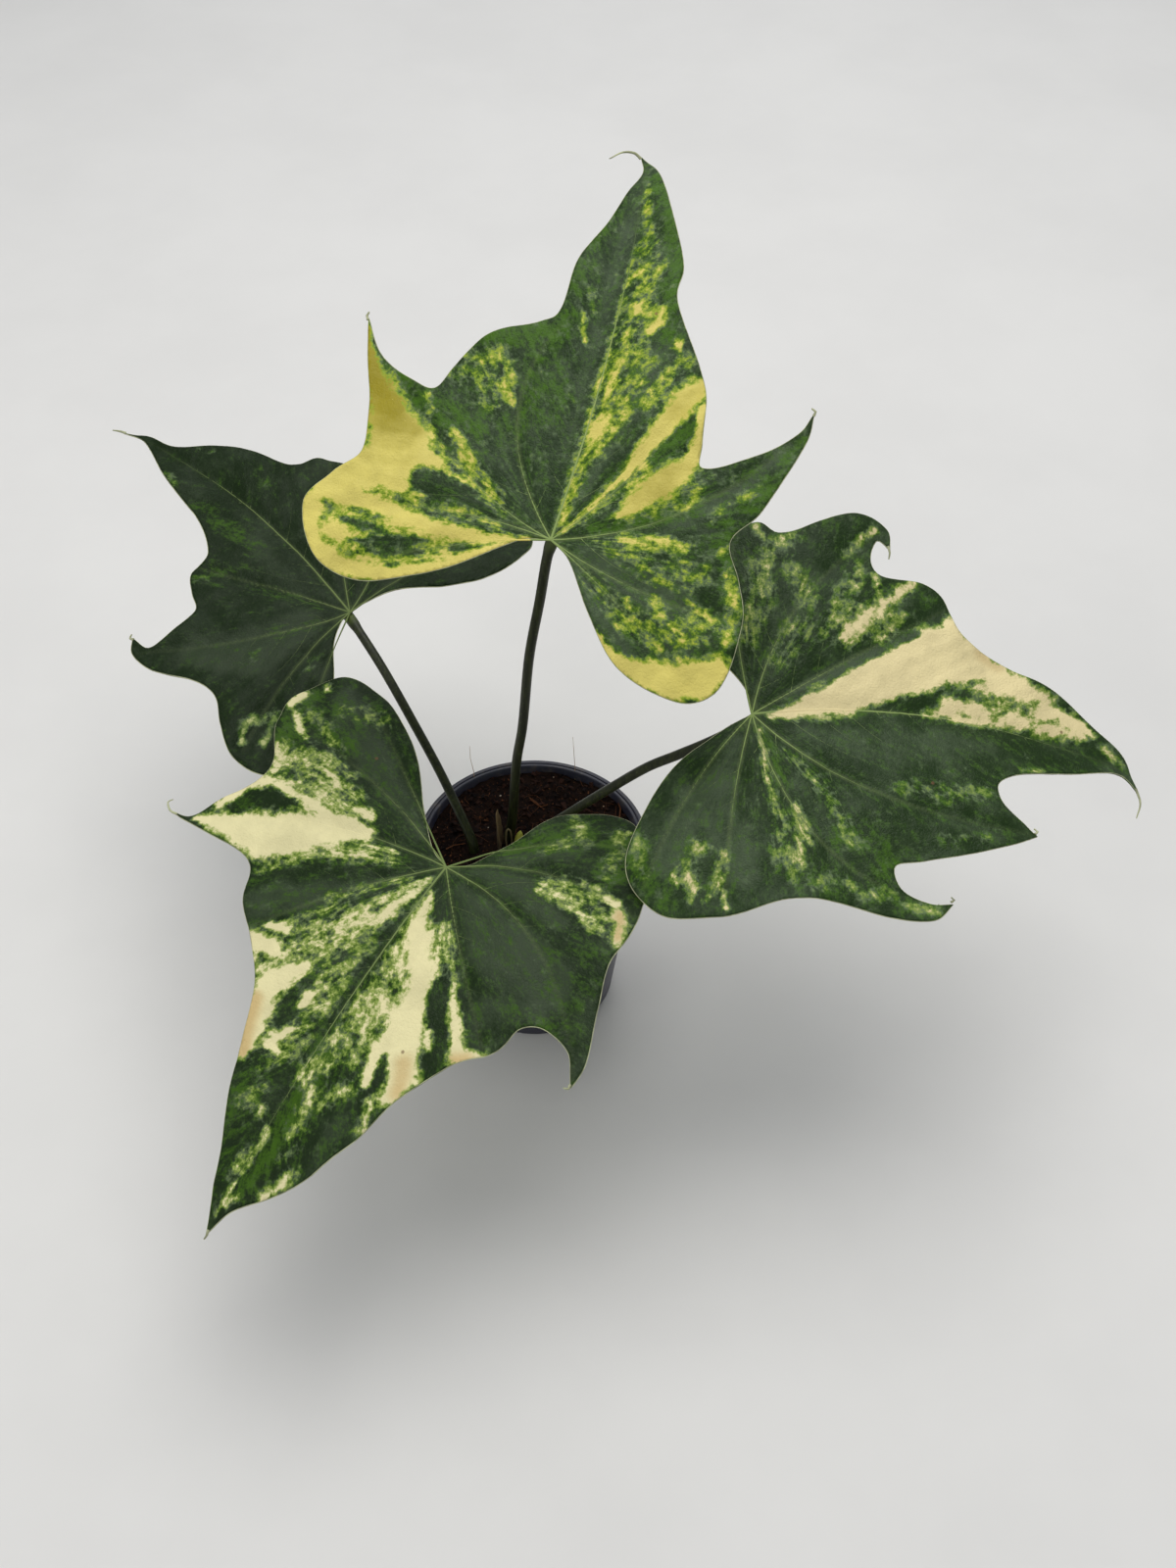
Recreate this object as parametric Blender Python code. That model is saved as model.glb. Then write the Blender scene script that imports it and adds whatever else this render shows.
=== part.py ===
# Potted anthurium: four big ivy-shaped leaves on long stalks, which grow from a
# short stem in a 12 cm plastic nursery pot filled with bark chips and coir.
# The pot stands on z = 0 with its middle on the z axis. The lists are in
# millimetres, and add_mesh and build_stalk turn them into metres.
import math

import bmesh
import bpy
from mathutils import Vector, noise
from mathutils.geometry import delaunay_2d_cdt

MM = 0.001
WELD = 0.01
GAP = 0.3
HOLE_SIDES = 12
CUTTER_SPARE = 20.0

POT_HEIGHT = 110.0
RIM_RADIUS = 60.0
BASE_RADIUS = 42.0
POT_WALL = 1.2
SKIRT_HEIGHT = 9.0
RIM_STEP = 3.6
RIM_THICKNESS = 1.4
RIM_ROUND = 0.6
GROOVE_PLACE = 0.9
GROOVE_WIDTH = 0.8
GROOVE_FLOOR = 0.4
GROOVE_DEPTH = 0.6
FOOT_ROUND = 1.2
FOOT_WIDTH = 5.0
FLOOR_RISE = 2.5
FLOOR_SLOPE = 1.5
FLOOR_SHIFT = 0.3
DRAIN_HOLES = 6
DRAIN_RADIUS = 3.5
DRAIN_CIRCLE = 27.0
POT_SEGMENTS = 36

SOIL_TOP = 106.0
SOIL_EDGE_GAP = 0.5
SOIL_RINGS = 9
CHIP_SIZE = 5.0
CHIP_HEIGHT = 1.3
LUMP_SIZE = 16.0
LUMP_HEIGHT = 1.6

STALK_FOOT = 80.0
STALK_RADIUS = 2.4
KNEE_RADIUS = 3.0
KNEE_LENGTH = 13.0
KNEE_SEAT = 3.0
KNEE_STRAIGHT = 4.0
STALK_STEP = 11.0

BLADE_THICKNESS = 1.3
RIB_SHARE = 0.7
CREASE_DEPTH = 1.6
CREASE_WIDTH = 5.0
MARGIN_STEP = 5.5
BLADE_LATTICE = 9.5
LATTICE_MARGIN_GAP = 3.8
LATTICE_VEIN_GAP = 4.75
VEIN_STEP = 6.5
VEIN_POINT_GAP = 3.9
VEIN_MARGIN_GAP = 1.5
WAVE_HEIGHT = 3.0
WAVE_REACH = 100.0
WAVES_ROUND = 3
FOLD_ROUNDING = 12.0

STEM_PLACE = (-5.0, -11.0)
STEM_RADIUS = 4.2
STEM_WAIST = 3.6
STEM_TIP = 2.5
STEM_FOOT = 88.0
STEM_TOP = 110.0
STEM_SEGMENTS = 14
SCARS = 4
SCARS_FROM = 100.0
SCARS_TO = 108.5
SCAR_WIDTH = 1.0
SHOOT_PLACE = (-7.0, 0.5)
SHOOT_RADIUS = 2.6
SHOOT_FOOT = 94.0
SHOOT_TOP = 118.5
SHOOT_SEGMENTS = 12
SHEATH_PLACE = (-12.5, -1.5)
SHEATH_RADIUS = 5.0
SHEATH_FOOT = 95.0
SHEATH_TOP = 134.0
SHEATH_WALL = 0.8
SHEATH_ARC = (118.0, 242.0)
SHEATH_LEAN = 14.0
SHEATH_NARROWING = 0.75
SHEATH_TAPER = 2.5
SHEATH_COLUMNS = 6
SHEATH_ROWS = 8

# Each leaf is drawn flat, as points (across, along) from its notch, where the
# stalk meets it: along runs up the midrib and across to the right of it. The
# margin is a list of stretches, each a smooth curve from one sharp tip to the
# next, starting and ending at the notch. A vein bends from the notch past its
# first point to its second. heading is the compass bearing of the midrib from
# +Y towards +X, pitch lifts the tip and roll lowers the right side.
LEAVES = {
    "leaf_top": {
        "notch": (12.3, 0.0, 311.8),
        "heading": 14.0,
        "pitch": 34.0,
        "roll": 0.0,
        "droop": 600.0,
        "back_droop": 200.0,
        "side_droop": 600.0,
        "fold": 0.12,
        "wave_start": 0.6,
        "margin": [
            [(-13, -2), (-31, -14), (-55, -26), (-83, -33), (-103, -26), (-114, -3),
             (-104, 14), (-93, 26), (-96, 48), (-105, 80), (-109, 94)],
            [(-97, 75), (-78, 64), (-68, 62), (-62, 74), (-51, 91), (-28, 103), (-20, 110),
             (-17, 139), (-8, 159), (-3, 176), (1, 190), (-2, 199)],
            [(9, 190), (22, 164), (32, 139), (33, 121), (50, 89), (56, 74), (58, 54), (60, 43),
             (79, 50), (99, 66), (104, 76)],
            [(103, 62), (90, 28), (79, 11), (86, -6), (91, -24), (86, -54), (69, -62),
             (41, -52), (24, -31), (10, -8), (0, 0)],
        ],
        "veins": [((14, 120), (1, 196)), ((-45, 53), (-18, 103)), ((-54, 17), (-108, 92)),
                  ((-55, 12), (-110, -6)), ((-40, -6), (-88, -28)), ((38, 36), (54, 84)),
                  ((68, 12), (103, 73)), ((38, -20), (89, -25)), ((32, -20), (72, -54))],
        "stalk": [(-12.5, 7, 106), (-9.9, 6.6, 123), (-6.8, 6.2, 163), (-3.0, 5.7, 190),
                  (1.2, 5.1, 236), (6.9, 4.5, 272), (10.6, 4.6, 297)],
    },
    "leaf_right": {
        "notch": (105.0, -30.0, 233.3),
        "heading": 89.4,
        "pitch": -3.0,
        "roll": -22.0,
        "droop": 600.0,
        "back_droop": 250.0,
        "side_droop": 500.0,
        "fold": 0.14,
        "wave_start": -1.0,
        "margin": [
            [(-13, -3), (-32, -18), (-63, -24), (-90, -12), (-98, 4), (-93, 14), (-99, 35),
             (-104, 52), (-98, 67), (-87, 68)],
            [(-92, 62), (-81, 58), (-73, 63), (-72, 84), (-65, 94), (-48, 102), (-35, 126),
             (-24, 153), (-8, 174), (3, 186), (20, 190)],
            [(12, 183), (14, 166), (20, 132), (27, 116), (38, 116), (47, 126), (53, 132)],
            [(59, 119), (67, 92), (70, 76), (73, 63), (84, 65), (91, 78), (91, 88)],
            [(99, 79), (98, 60), (92, 36), (91, 14), (98, -10), (99, -38), (86, -54), (71, -58),
             (48, -49), (28, -36), (9, -14), (0, 0)],
        ],
        "veins": [((-14, 95), (10, 187)), ((-26, 40), (-60, 95)), ((-60, 12), (-96, 64)),
                  ((-40, -9), (-86, -8)), ((48, 46), (52, 129)), ((79, 17), (93, 84)),
                  ((45, -13), (97, -14)), ((35, -32), (84, -50))],
        "stalk": [(1, 4, 106), (4.5, 3, 115), (17.5, -1.1, 132), (38.7, -7.8, 158),
                  (57.6, -13.6, 180), (72.3, -18.2, 193.5), (88.3, -23.2, 208.5)],
    },
    "leaf_front": {
        "notch": (-37.0, -80.0, 183.4),
        "heading": -143.5,
        "pitch": -12.0,
        "roll": 0.0,
        "droop": 450.0,
        "back_droop": 250.0,
        "side_droop": 450.0,
        "fold": 0.14,
        "wave_start": 2.0,
        "margin": [
            [(-10, -8), (-18, -24), (-29, -51), (-47, -64), (-64, -64), (-85, -44), (-93, -20),
             (-95, 2), (-102, 21), (-112, 45), (-113, 57)],
            [(-102, 44), (-88, 42), (-79, 48), (-76, 62), (-62, 80), (-53, 101), (-47, 125),
             (-34, 156), (-15, 180), (-9, 192)],
            [(-4, 180), (2, 170), (18, 140), (29, 116), (40, 94), (54, 79), (73, 64), (82, 48),
             (95, 44), (116, 45), (139, 43)],
            [(128, 40), (118, 24), (107, 4), (122, -20), (126, -39), (115, -60), (97, -63),
             (73, -55), (49, -40), (27, -18), (11, -4), (0, 0)],
        ],
        "veins": [((-3, 95), (-9, 190)), ((-35, 35), (-74, 67)), ((-68, -3), (-112, 54)),
                  ((-40, -29), (-90, -24)), ((-25, -36), (-70, -54)), ((30, 30), (62, 72)),
                  ((60, 5), (134, 43)), ((50, -21), (120, -26)), ((45, -28), (95, -58))],
        "stalk": [(-14, -10, 106), (-15.5, -15, 114), (-21, -30, 126), (-28.5, -50, 146),
                  (-34, -68, 165)],
    },
    "leaf_back": {
        "notch": (-95.7, 95.0, 185.8),
        "heading": -44.1,
        "pitch": 12.0,
        "roll": 8.0,
        "droop": 700.0,
        "back_droop": 250.0,
        "side_droop": 600.0,
        "fold": 0.12,
        "wave_start": 1.2,
        "margin": [
            [(-6, -1), (-19, -10), (-33, -27), (-48, -43), (-66, -53), (-84, -56), (-97, -48),
             (-101, -31), (-94, -13), (-85, 4), (-88, 20), (-99, 40), (-100, 54), (-94, 62)],
            [(-92, 51), (-78, 50), (-60, 53), (-54, 64), (-47, 74), (-32, 79), (-21, 104),
             (-17, 135), (-9, 163), (-7, 176), (-12, 185)],
            [(-4, 175), (1, 156), (19, 139), (30, 121), (36, 99), (42, 93), (53, 90), (62, 76),
             (78, 72), (103, 66)],
            [(89, 54), (80, 42), (86, 28), (98, 16), (108, -8), (104, -27), (94, -34), (74, -33),
             (48, -23), (25, -5), (8, 0), (0, 0)],
        ],
        "veins": [((12, 90), (-8, 178)), ((-18, 38), (-42, 75)), ((-45, 10), (-97, 52)),
                  ((-45, -5), (-95, -32)), ((-30, -17), (-75, -50)), ((22, 36), (56, 86)),
                  ((50, 18), (100, 64)), ((52, 2), (98, -28))],
        "stalk": [(-30, -2, 106), (-31.5, 0.5, 113), (-46.2, 21.8, 137), (-60.5, 42.5, 153.5),
                  (-77.3, 67.4, 169.5), (-90.5, 86.5, 178.5)],
    },
}


def clear_scene():
    for item in list(bpy.data.objects):
        bpy.data.objects.remove(item, do_unlink=True)


def make_material(name, colour, roughness, metallic=0.0):
    material = bpy.data.materials.new(name)
    material.use_nodes = True
    shader = material.node_tree.nodes["Principled BSDF"]
    shader.inputs["Base Color"].default_value = (*colour, 1.0)
    shader.inputs["Roughness"].default_value = roughness
    shader.inputs["Metallic"].default_value = metallic
    material.diffuse_color = (*colour, 1.0)
    return material


def add_mesh(name, bm, material, closed=True, sharp_degrees=35.0):
    """Turn a mesh drawn in millimetres into a named object in metres."""
    bmesh.ops.remove_doubles(bm, verts=bm.verts, dist=WELD)
    if closed:
        bmesh.ops.recalc_face_normals(bm, faces=bm.faces)
    bmesh.ops.scale(bm, verts=bm.verts, vec=(MM, MM, MM))
    mesh = bpy.data.meshes.new(name)
    bm.to_mesh(mesh)
    bm.free()
    mesh.materials.append(material)
    mesh.shade_smooth()
    mesh.set_sharp_from_angle(angle=math.radians(sharp_degrees))
    item = bpy.data.objects.new(name, mesh)
    bpy.context.scene.collection.objects.link(item)
    return item


def turned(profile, segments, centre=(0.0, 0.0)):
    """Turn a profile of (radius, height) points round an upright axis."""
    bm = bmesh.new()
    points = [bm.verts.new((radius, 0.0, height)) for radius, height in profile]
    edges = [bm.edges.new(pair) for pair in zip(points, points[1:])]
    bmesh.ops.spin(bm, geom=points + edges, cent=(0, 0, 0), axis=(0, 0, 1),
                   angle=math.tau, steps=segments, use_merge=True)
    bmesh.ops.remove_doubles(bm, verts=bm.verts, dist=WELD)
    bmesh.ops.translate(bm, verts=bm.verts, vec=(*centre, 0.0))
    return bm


def add_cutter(name, bm):
    cutter = add_mesh(name, bm, None)
    cutter.display_type = "WIRE"
    cutter.hide_render = True
    return cutter


def cut(item, cutter):
    boolean = item.modifiers.new(cutter.name, "BOOLEAN")
    boolean.operation = "DIFFERENCE"
    boolean.solver = "EXACT"
    boolean.object = cutter


def smooth_curve(points, step):
    """Points about step apart on a smooth curve through the given ones, without the first."""
    points = [Vector(p) for p in points]
    times = [0.0]
    for a, b in zip(points, points[1:]):
        times.append(times[-1] + math.sqrt((b - a).length))
    last = len(points) - 1
    slopes = []
    for i in range(last + 1):
        before, after = max(i - 1, 0), min(i + 1, last)
        slopes.append((points[after] - points[before]) / (times[after] - times[before]))
    curve = []
    for i in range(last):
        span = times[i + 1] - times[i]
        count = max(1, round((points[i + 1] - points[i]).length / step))
        for k in range(1, count + 1):
            t = k / count
            curve.append(points[i] * (2 * t**3 - 3 * t**2 + 1)
                         + slopes[i] * (span * (t**3 - 2 * t**2 + t))
                         + points[i + 1] * (3 * t**2 - 2 * t**3)
                         + slopes[i + 1] * (span * (t**3 - t**2)))
    return curve


def wall_radius(height):
    """Outer radius of the pot's tapering wall."""
    top = RIM_RADIUS - RIM_STEP
    return BASE_RADIUS + (top - BASE_RADIUS) * height / POT_HEIGHT


def build_pot(material):
    """A thin tapering wall with a folded rim and a floor raised round its middle."""
    skirt_foot = POT_HEIGHT - SKIRT_HEIGHT
    skirt_inside = RIM_RADIUS - POT_WALL
    fold_foot = POT_HEIGHT - RIM_THICKNESS
    rim_shoulder = POT_HEIGHT - RIM_ROUND
    lip = wall_radius(POT_HEIGHT)
    groove = lip + GROOVE_PLACE
    groove_low = POT_HEIGHT - GROOVE_DEPTH
    foot_inside = BASE_RADIUS - FOOT_WIDTH
    middle = DRAIN_CIRCLE - (foot_inside - DRAIN_CIRCLE)
    inner_slope = FLOOR_SLOPE + FLOOR_SHIFT
    inner_rise = FLOOR_RISE + POT_WALL
    profile = [
        (0.0, 0.0), (middle, 0.0), (middle + FLOOR_SLOPE, FLOOR_RISE),
        (foot_inside - FLOOR_SLOPE, FLOOR_RISE), (foot_inside, 0.0),
        (BASE_RADIUS - FOOT_ROUND, 0.0), (wall_radius(FOOT_ROUND), FOOT_ROUND),
        (wall_radius(fold_foot), fold_foot), (skirt_inside, fold_foot), (skirt_inside, skirt_foot),
        (RIM_RADIUS, skirt_foot), (RIM_RADIUS, rim_shoulder), (RIM_RADIUS - RIM_ROUND, POT_HEIGHT),
        (groove + GROOVE_WIDTH / 2, POT_HEIGHT), (groove + GROOVE_FLOOR / 2, groove_low),
        (groove - GROOVE_FLOOR / 2, groove_low), (groove - GROOVE_WIDTH / 2, POT_HEIGHT),
        (lip - RIM_ROUND, POT_HEIGHT), (lip - POT_WALL, rim_shoulder),
        (wall_radius(POT_WALL) - POT_WALL, POT_WALL), (foot_inside - FLOOR_SHIFT, POT_WALL),
        (foot_inside - inner_slope, inner_rise), (middle + inner_slope, inner_rise),
        (middle + FLOOR_SHIFT, POT_WALL), (0.0, POT_WALL),
    ]
    pot = add_mesh("pot", turned(profile, POT_SEGMENTS), material)
    holes = bmesh.new()
    for i in range(DRAIN_HOLES):
        angle = math.tau * i / DRAIN_HOLES
        made = bmesh.ops.create_cone(holes, segments=HOLE_SIDES, radius1=DRAIN_RADIUS,
                                     radius2=DRAIN_RADIUS, depth=CUTTER_SPARE, cap_ends=True)
        bmesh.ops.translate(holes, verts=made["verts"],
                            vec=(DRAIN_CIRCLE * math.cos(angle), DRAIN_CIRCLE * math.sin(angle), 0.0))
    cut(pot, add_cutter("drain_hole_cutter", holes))
    return pot


def soil_bump(x, y):
    """Lumps and bark chips that make the top of the soil uneven."""
    lump = noise.noise(Vector((x, y, 0.0)) / LUMP_SIZE)
    chip = noise.noise(Vector((x, y, LUMP_SIZE)) / CHIP_SIZE)
    return lump * LUMP_HEIGHT + chip * CHIP_HEIGHT


def build_soil(material, cutters):
    """Fills the pot to just under its rim, with a plain hole for everything planted in it."""
    floor = FLOOR_RISE + POT_WALL + GAP
    foot = wall_radius(floor) - POT_WALL - GAP
    edge = wall_radius(SOIL_TOP) - POT_WALL - SOIL_EDGE_GAP
    profile = [(0.0, floor), (foot, floor)]
    profile += [(edge * k / SOIL_RINGS, SOIL_TOP) for k in range(SOIL_RINGS, -1, -1)]
    bm = turned(profile, POT_SEGMENTS)
    for vert in bm.verts:
        if vert.co.z > SOIL_TOP - WELD:
            vert.co.z += soil_bump(vert.co.x, vert.co.y)
    bmesh.ops.triangulate(bm, faces=bm.faces)
    soil = add_mesh("soil", bm, material)
    for cutter in cutters:
        cut(soil, cutter)
    return soil


def round_hole(name, place, radius, foot):
    """Cutter for a hole a little wider than the stalk that stands in it."""
    bm = bmesh.new()
    top = SOIL_TOP + CUTTER_SPARE
    hole_radius = (radius + GAP) / math.cos(math.pi / HOLE_SIDES)
    bmesh.ops.create_cone(bm, segments=HOLE_SIDES, radius1=hole_radius, radius2=hole_radius,
                          depth=top - foot + GAP, cap_ends=True)
    bmesh.ops.translate(bm, verts=bm.verts, vec=(*place, (top + foot - GAP) / 2))
    return add_cutter(name, bm)


def leaf_axes(leaf):
    """Directions of across, along and up for a leaf's own plan."""
    heading, pitch, roll = (math.radians(leaf[key]) for key in ("heading", "pitch", "roll"))
    along = Vector((math.sin(heading) * math.cos(pitch), math.cos(heading) * math.cos(pitch),
                    math.sin(pitch)))
    level = Vector((math.cos(heading), -math.sin(heading), 0.0))
    upright = level.cross(along)
    across = level * math.cos(roll) + upright * math.sin(roll)
    return across, along, across.cross(along)


def vein_lines(leaf):
    """Each main vein as a list of plan points about VEIN_STEP apart, from the notch out."""
    lines = []
    for bend, end in leaf["veins"]:
        bend, end = Vector(bend), Vector(end)
        count = max(2, round(end.length / VEIN_STEP))
        steps = [k / count for k in range(count + 1)]
        lines.append([bend * (2 * t * (1 - t)) + end * t**2 for t in steps])
    return lines


def distance_to_lines(point, lines):
    nearest = math.inf
    for line in lines:
        for a, b in zip(line, line[1:]):
            side = b - a
            share = max(0.0, min(1.0, (point - a).dot(side) / side.length_squared))
            nearest = min(nearest, (point - a - side * share).length)
    return nearest


def blade_height(leaf, point, lines):
    """How far the drooping, folded, waved and creased blade stands above its flat plan."""
    across, along = point
    droop = leaf["droop"] if along > 0 else leaf["back_droop"]
    height = -along**2 / (2 * droop) - across**2 / (2 * leaf["side_droop"])
    height += leaf["fold"] * (math.hypot(across, FOLD_ROUNDING) - FOLD_ROUNDING)
    wave = math.sin(WAVES_ROUND * math.atan2(across, along) + leaf["wave_start"])
    height += WAVE_HEIGHT * wave * (across**2 + along**2) / WAVE_REACH**2
    return height - CREASE_DEPTH * math.exp(-(distance_to_lines(point, lines) / CREASE_WIDTH) ** 2)


def blade_point(leaf, point, lines):
    across, along, up = leaf_axes(leaf)
    height = blade_height(leaf, point, lines)
    return Vector(leaf["notch"]) + across * point[0] + along * point[1] + up * height


def margin_loop(leaf):
    """The leaf's whole margin as one closed loop of plan points."""
    loop = []
    start = (0.0, 0.0)
    for stretch in leaf["margin"]:
        loop += smooth_curve([start] + stretch, MARGIN_STEP)
        start = stretch[-1]
    return loop


def is_inside(point, loop):
    inside = False
    for a, b in zip(loop, loop[1:] + loop[:1]):
        if (a.y > point.y) != (b.y > point.y):
            inside ^= point.x < a.x + (b.x - a.x) * (point.y - a.y) / (b.y - a.y)
    return inside


def inner_points(loop, lines):
    """Plan points inside the margin: along the veins, then an even lattice between them."""
    ring = [loop + loop[:1]]
    points = []
    for line in lines:
        for point in line[1:]:
            apart = all((point - other).length > VEIN_POINT_GAP for other in points)
            if apart and is_inside(point, loop) and distance_to_lines(point, ring) > VEIN_MARGIN_GAP:
                points.append(point)
    low_x, high_x = min(p.x for p in loop), max(p.x for p in loop)
    low_y, high_y = min(p.y for p in loop), max(p.y for p in loop)
    row_height = BLADE_LATTICE * math.sqrt(3) / 2
    for row in range(int((high_y - low_y) / row_height) + 1):
        for column in range(int((high_x - low_x) / BLADE_LATTICE) + 1):
            point = Vector((low_x + (column + 0.5 * (row % 2)) * BLADE_LATTICE,
                            low_y + row * row_height))
            clear = distance_to_lines(point, ring) > LATTICE_MARGIN_GAP
            clear = clear and distance_to_lines(point, lines) > LATTICE_VEIN_GAP
            if clear and is_inside(point, loop):
                points.append(point)
    return points


def build_blade(name, leaf, material):
    """A blade of even triangles with the same split on both faces, thicker along its veins."""
    loop = margin_loop(leaf)
    lines = vein_lines(leaf)
    edges = [(i, (i + 1) % len(loop)) for i in range(len(loop))]
    inside_only = 1
    points, _, faces, *_ = delaunay_2d_cdt(loop + inner_points(loop, lines), edges, [],
                                           inside_only, WELD)
    bm = bmesh.new()
    verts = [bm.verts.new(blade_point(leaf, point, lines)) for point in points]
    for face in faces:
        bm.faces.new([verts[i] for i in face])
    blade = add_mesh(name, bm, material, closed=False, sharp_degrees=60.0)
    ribs = blade.vertex_groups.new(name="ribs")
    for i, point in enumerate(points):
        ribs.add([i], math.exp(-(distance_to_lines(point, lines) / CREASE_WIDTH) ** 2), "REPLACE")
    solid = blade.modifiers.new("thickness", "SOLIDIFY")
    solid.thickness = BLADE_THICKNESS * MM
    solid.offset = -1.0
    solid.vertex_group = ribs.name
    solid.thickness_vertex_group = RIB_SHARE
    return blade


def build_stalk(name, leaf, material):
    """A slim round stalk with a thicker knee under the blade that it carries."""
    lines = vein_lines(leaf)
    seat = Vector((0.0, KNEE_SEAT))
    up = leaf_axes(leaf)[2]
    top = blade_point(leaf, seat, lines) - up * (BLADE_THICKNESS + GAP)
    foot = Vector(leaf["stalk"][0])
    planted = Vector((foot.x, foot.y, STALK_FOOT))
    route = [Vector(p) for p in leaf["stalk"]] + [top - up * KNEE_STRAIGHT]
    points = [planted, foot] + smooth_curve(route, STALK_STEP) + [top]
    curve = bpy.data.curves.new(name, "CURVE")
    curve.dimensions = "3D"
    curve.bevel_depth = STALK_RADIUS * MM
    curve.bevel_resolution = 2
    curve.use_fill_caps = True
    curve.materials.append(material)
    spline = curve.splines.new("POLY")
    spline.points.add(len(points) - 1)
    for spot, point in zip(spline.points, points):
        nearness = max(0.0, 1.0 - (top - point).length / KNEE_LENGTH)
        spot.co = (*(point * MM), 1.0)
        spot.radius = 1.0 + (KNEE_RADIUS / STALK_RADIUS - 1.0) * min(1.0, 2.0 * nearness)
    spline.use_smooth = True
    stalk = bpy.data.objects.new(name, curve)
    bpy.context.scene.collection.objects.link(stalk)
    return stalk


def build_short_stem(material):
    """The short stem between the stalks, ringed by the scars of old leaves."""
    profile = [(0.0, STEM_FOOT), (STEM_WAIST, STEM_FOOT)]
    for k in range(SCARS):
        height = SCARS_FROM + (SCARS_TO - SCARS_FROM) * k / (SCARS - 1)
        profile += [(STEM_WAIST, height), (STEM_RADIUS, height + SCAR_WIDTH)]
    profile += [(STEM_TIP, STEM_TOP), (0.0, STEM_TOP + SCAR_WIDTH)]
    return add_mesh("short_stem", turned(profile, STEM_SEGMENTS, STEM_PLACE), material)


def build_new_shoot(material):
    """A pointed young shoot that is still rolled up."""
    height = SHOOT_TOP - SHOOT_FOOT
    shares = [(0.0, 0.0), (0.75, 0.0), (0.9, 0.35), (1.0, 0.6), (0.85, 0.78), (0.5, 0.92), (0.0, 1.0)]
    profile = [(SHOOT_RADIUS * wide, SHOOT_FOOT + height * high) for wide, high in shares]
    return add_mesh("new_shoot", turned(profile, SHOOT_SEGMENTS, SHOOT_PLACE), material)


def sheath_mesh(foot, spare=0.0):
    """The open middle surface of the sheath: part of a tube, narrowing to a torn top."""
    bm = bmesh.new()
    grid = []
    for row in range(SHEATH_ROWS + 1):
        share = row / SHEATH_ROWS
        height = foot + (SHEATH_TOP - foot) * share
        narrowing = 1.0 - SHEATH_NARROWING * share**SHEATH_TAPER
        middle = sum(SHEATH_ARC) / 2 - SHEATH_LEAN * share
        half = (SHEATH_ARC[1] - SHEATH_ARC[0]) / 2 * narrowing + math.degrees(spare / SHEATH_RADIUS)
        line = []
        for column in range(SHEATH_COLUMNS + 1):
            angle = math.radians(middle + half * (2 * column / SHEATH_COLUMNS - 1))
            line.append(bm.verts.new((SHEATH_PLACE[0] + SHEATH_RADIUS * math.cos(angle),
                                      SHEATH_PLACE[1] + SHEATH_RADIUS * math.sin(angle), height)))
        grid.append(line)
    for low, high in zip(grid, grid[1:]):
        for k in range(SHEATH_COLUMNS):
            bm.faces.new((low[k], high[k], high[k + 1], low[k + 1]))
    return bm


def add_sheath_wall(item, wall):
    solid = item.modifiers.new("wall", "SOLIDIFY")
    solid.thickness = wall * MM
    solid.offset = 0.0
    return item


def build_old_sheath(material):
    """The papery dry sheath that once wrapped an older leaf."""
    return add_sheath_wall(add_mesh("old_sheath", sheath_mesh(SHEATH_FOOT), material, closed=False),
                           SHEATH_WALL)


def build_sheath_slot():
    """Cutter for the slot that the sheath stands in."""
    slot = add_mesh("sheath_slot_cutter", sheath_mesh(SHEATH_FOOT - GAP, GAP), None,
                    closed=False)
    slot.display_type = "WIRE"
    slot.hide_render = True
    return add_sheath_wall(slot, SHEATH_WALL + 2 * GAP)


clear_scene()
plastic = make_material("pot plastic", (0.030, 0.032, 0.055), 0.45)
soil_mix = make_material("bark and coir", (0.075, 0.030, 0.018), 0.95)
leaf_green = make_material("leaf", (0.055, 0.130, 0.035), 0.45)
stalk_green = make_material("stalk", (0.050, 0.065, 0.020), 0.50)
stem_brown = make_material("short stem", (0.120, 0.080, 0.035), 0.80)
shoot_green = make_material("new shoot", (0.340, 0.380, 0.100), 0.50)
sheath_brown = make_material("dry sheath", (0.180, 0.095, 0.045), 0.85)

build_pot(plastic)
hole_cutters = [
    round_hole("short_stem_hole", STEM_PLACE, STEM_RADIUS, STEM_FOOT),
    round_hole("new_shoot_hole", SHOOT_PLACE, SHOOT_RADIUS, SHOOT_FOOT),
    build_sheath_slot(),
]
for leaf_name, leaf_shape in LEAVES.items():
    stalk_name = leaf_name.replace("leaf", "stalk")
    build_blade(leaf_name, leaf_shape, leaf_green)
    build_stalk(stalk_name, leaf_shape, stalk_green)
    hole_cutters.append(round_hole(stalk_name + "_hole", leaf_shape["stalk"][0][:2],
                                   STALK_RADIUS, STALK_FOOT))
build_soil(soil_mix, hole_cutters)
build_short_stem(stem_brown)
build_new_shoot(shoot_green)
build_old_sheath(sheath_brown)
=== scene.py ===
# A potted anthurium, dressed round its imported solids: four big variegated leaves on
# long stalks, growing from bark and coir in a small plastic nursery pot. Points and
# sizes are in millimetres until a piece is added, in the frame of the solids.
import math
import random

import bmesh
import bpy
import numpy as np
from mathutils import Matrix, Vector, noise
from mathutils.kdtree import KDTree


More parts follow.
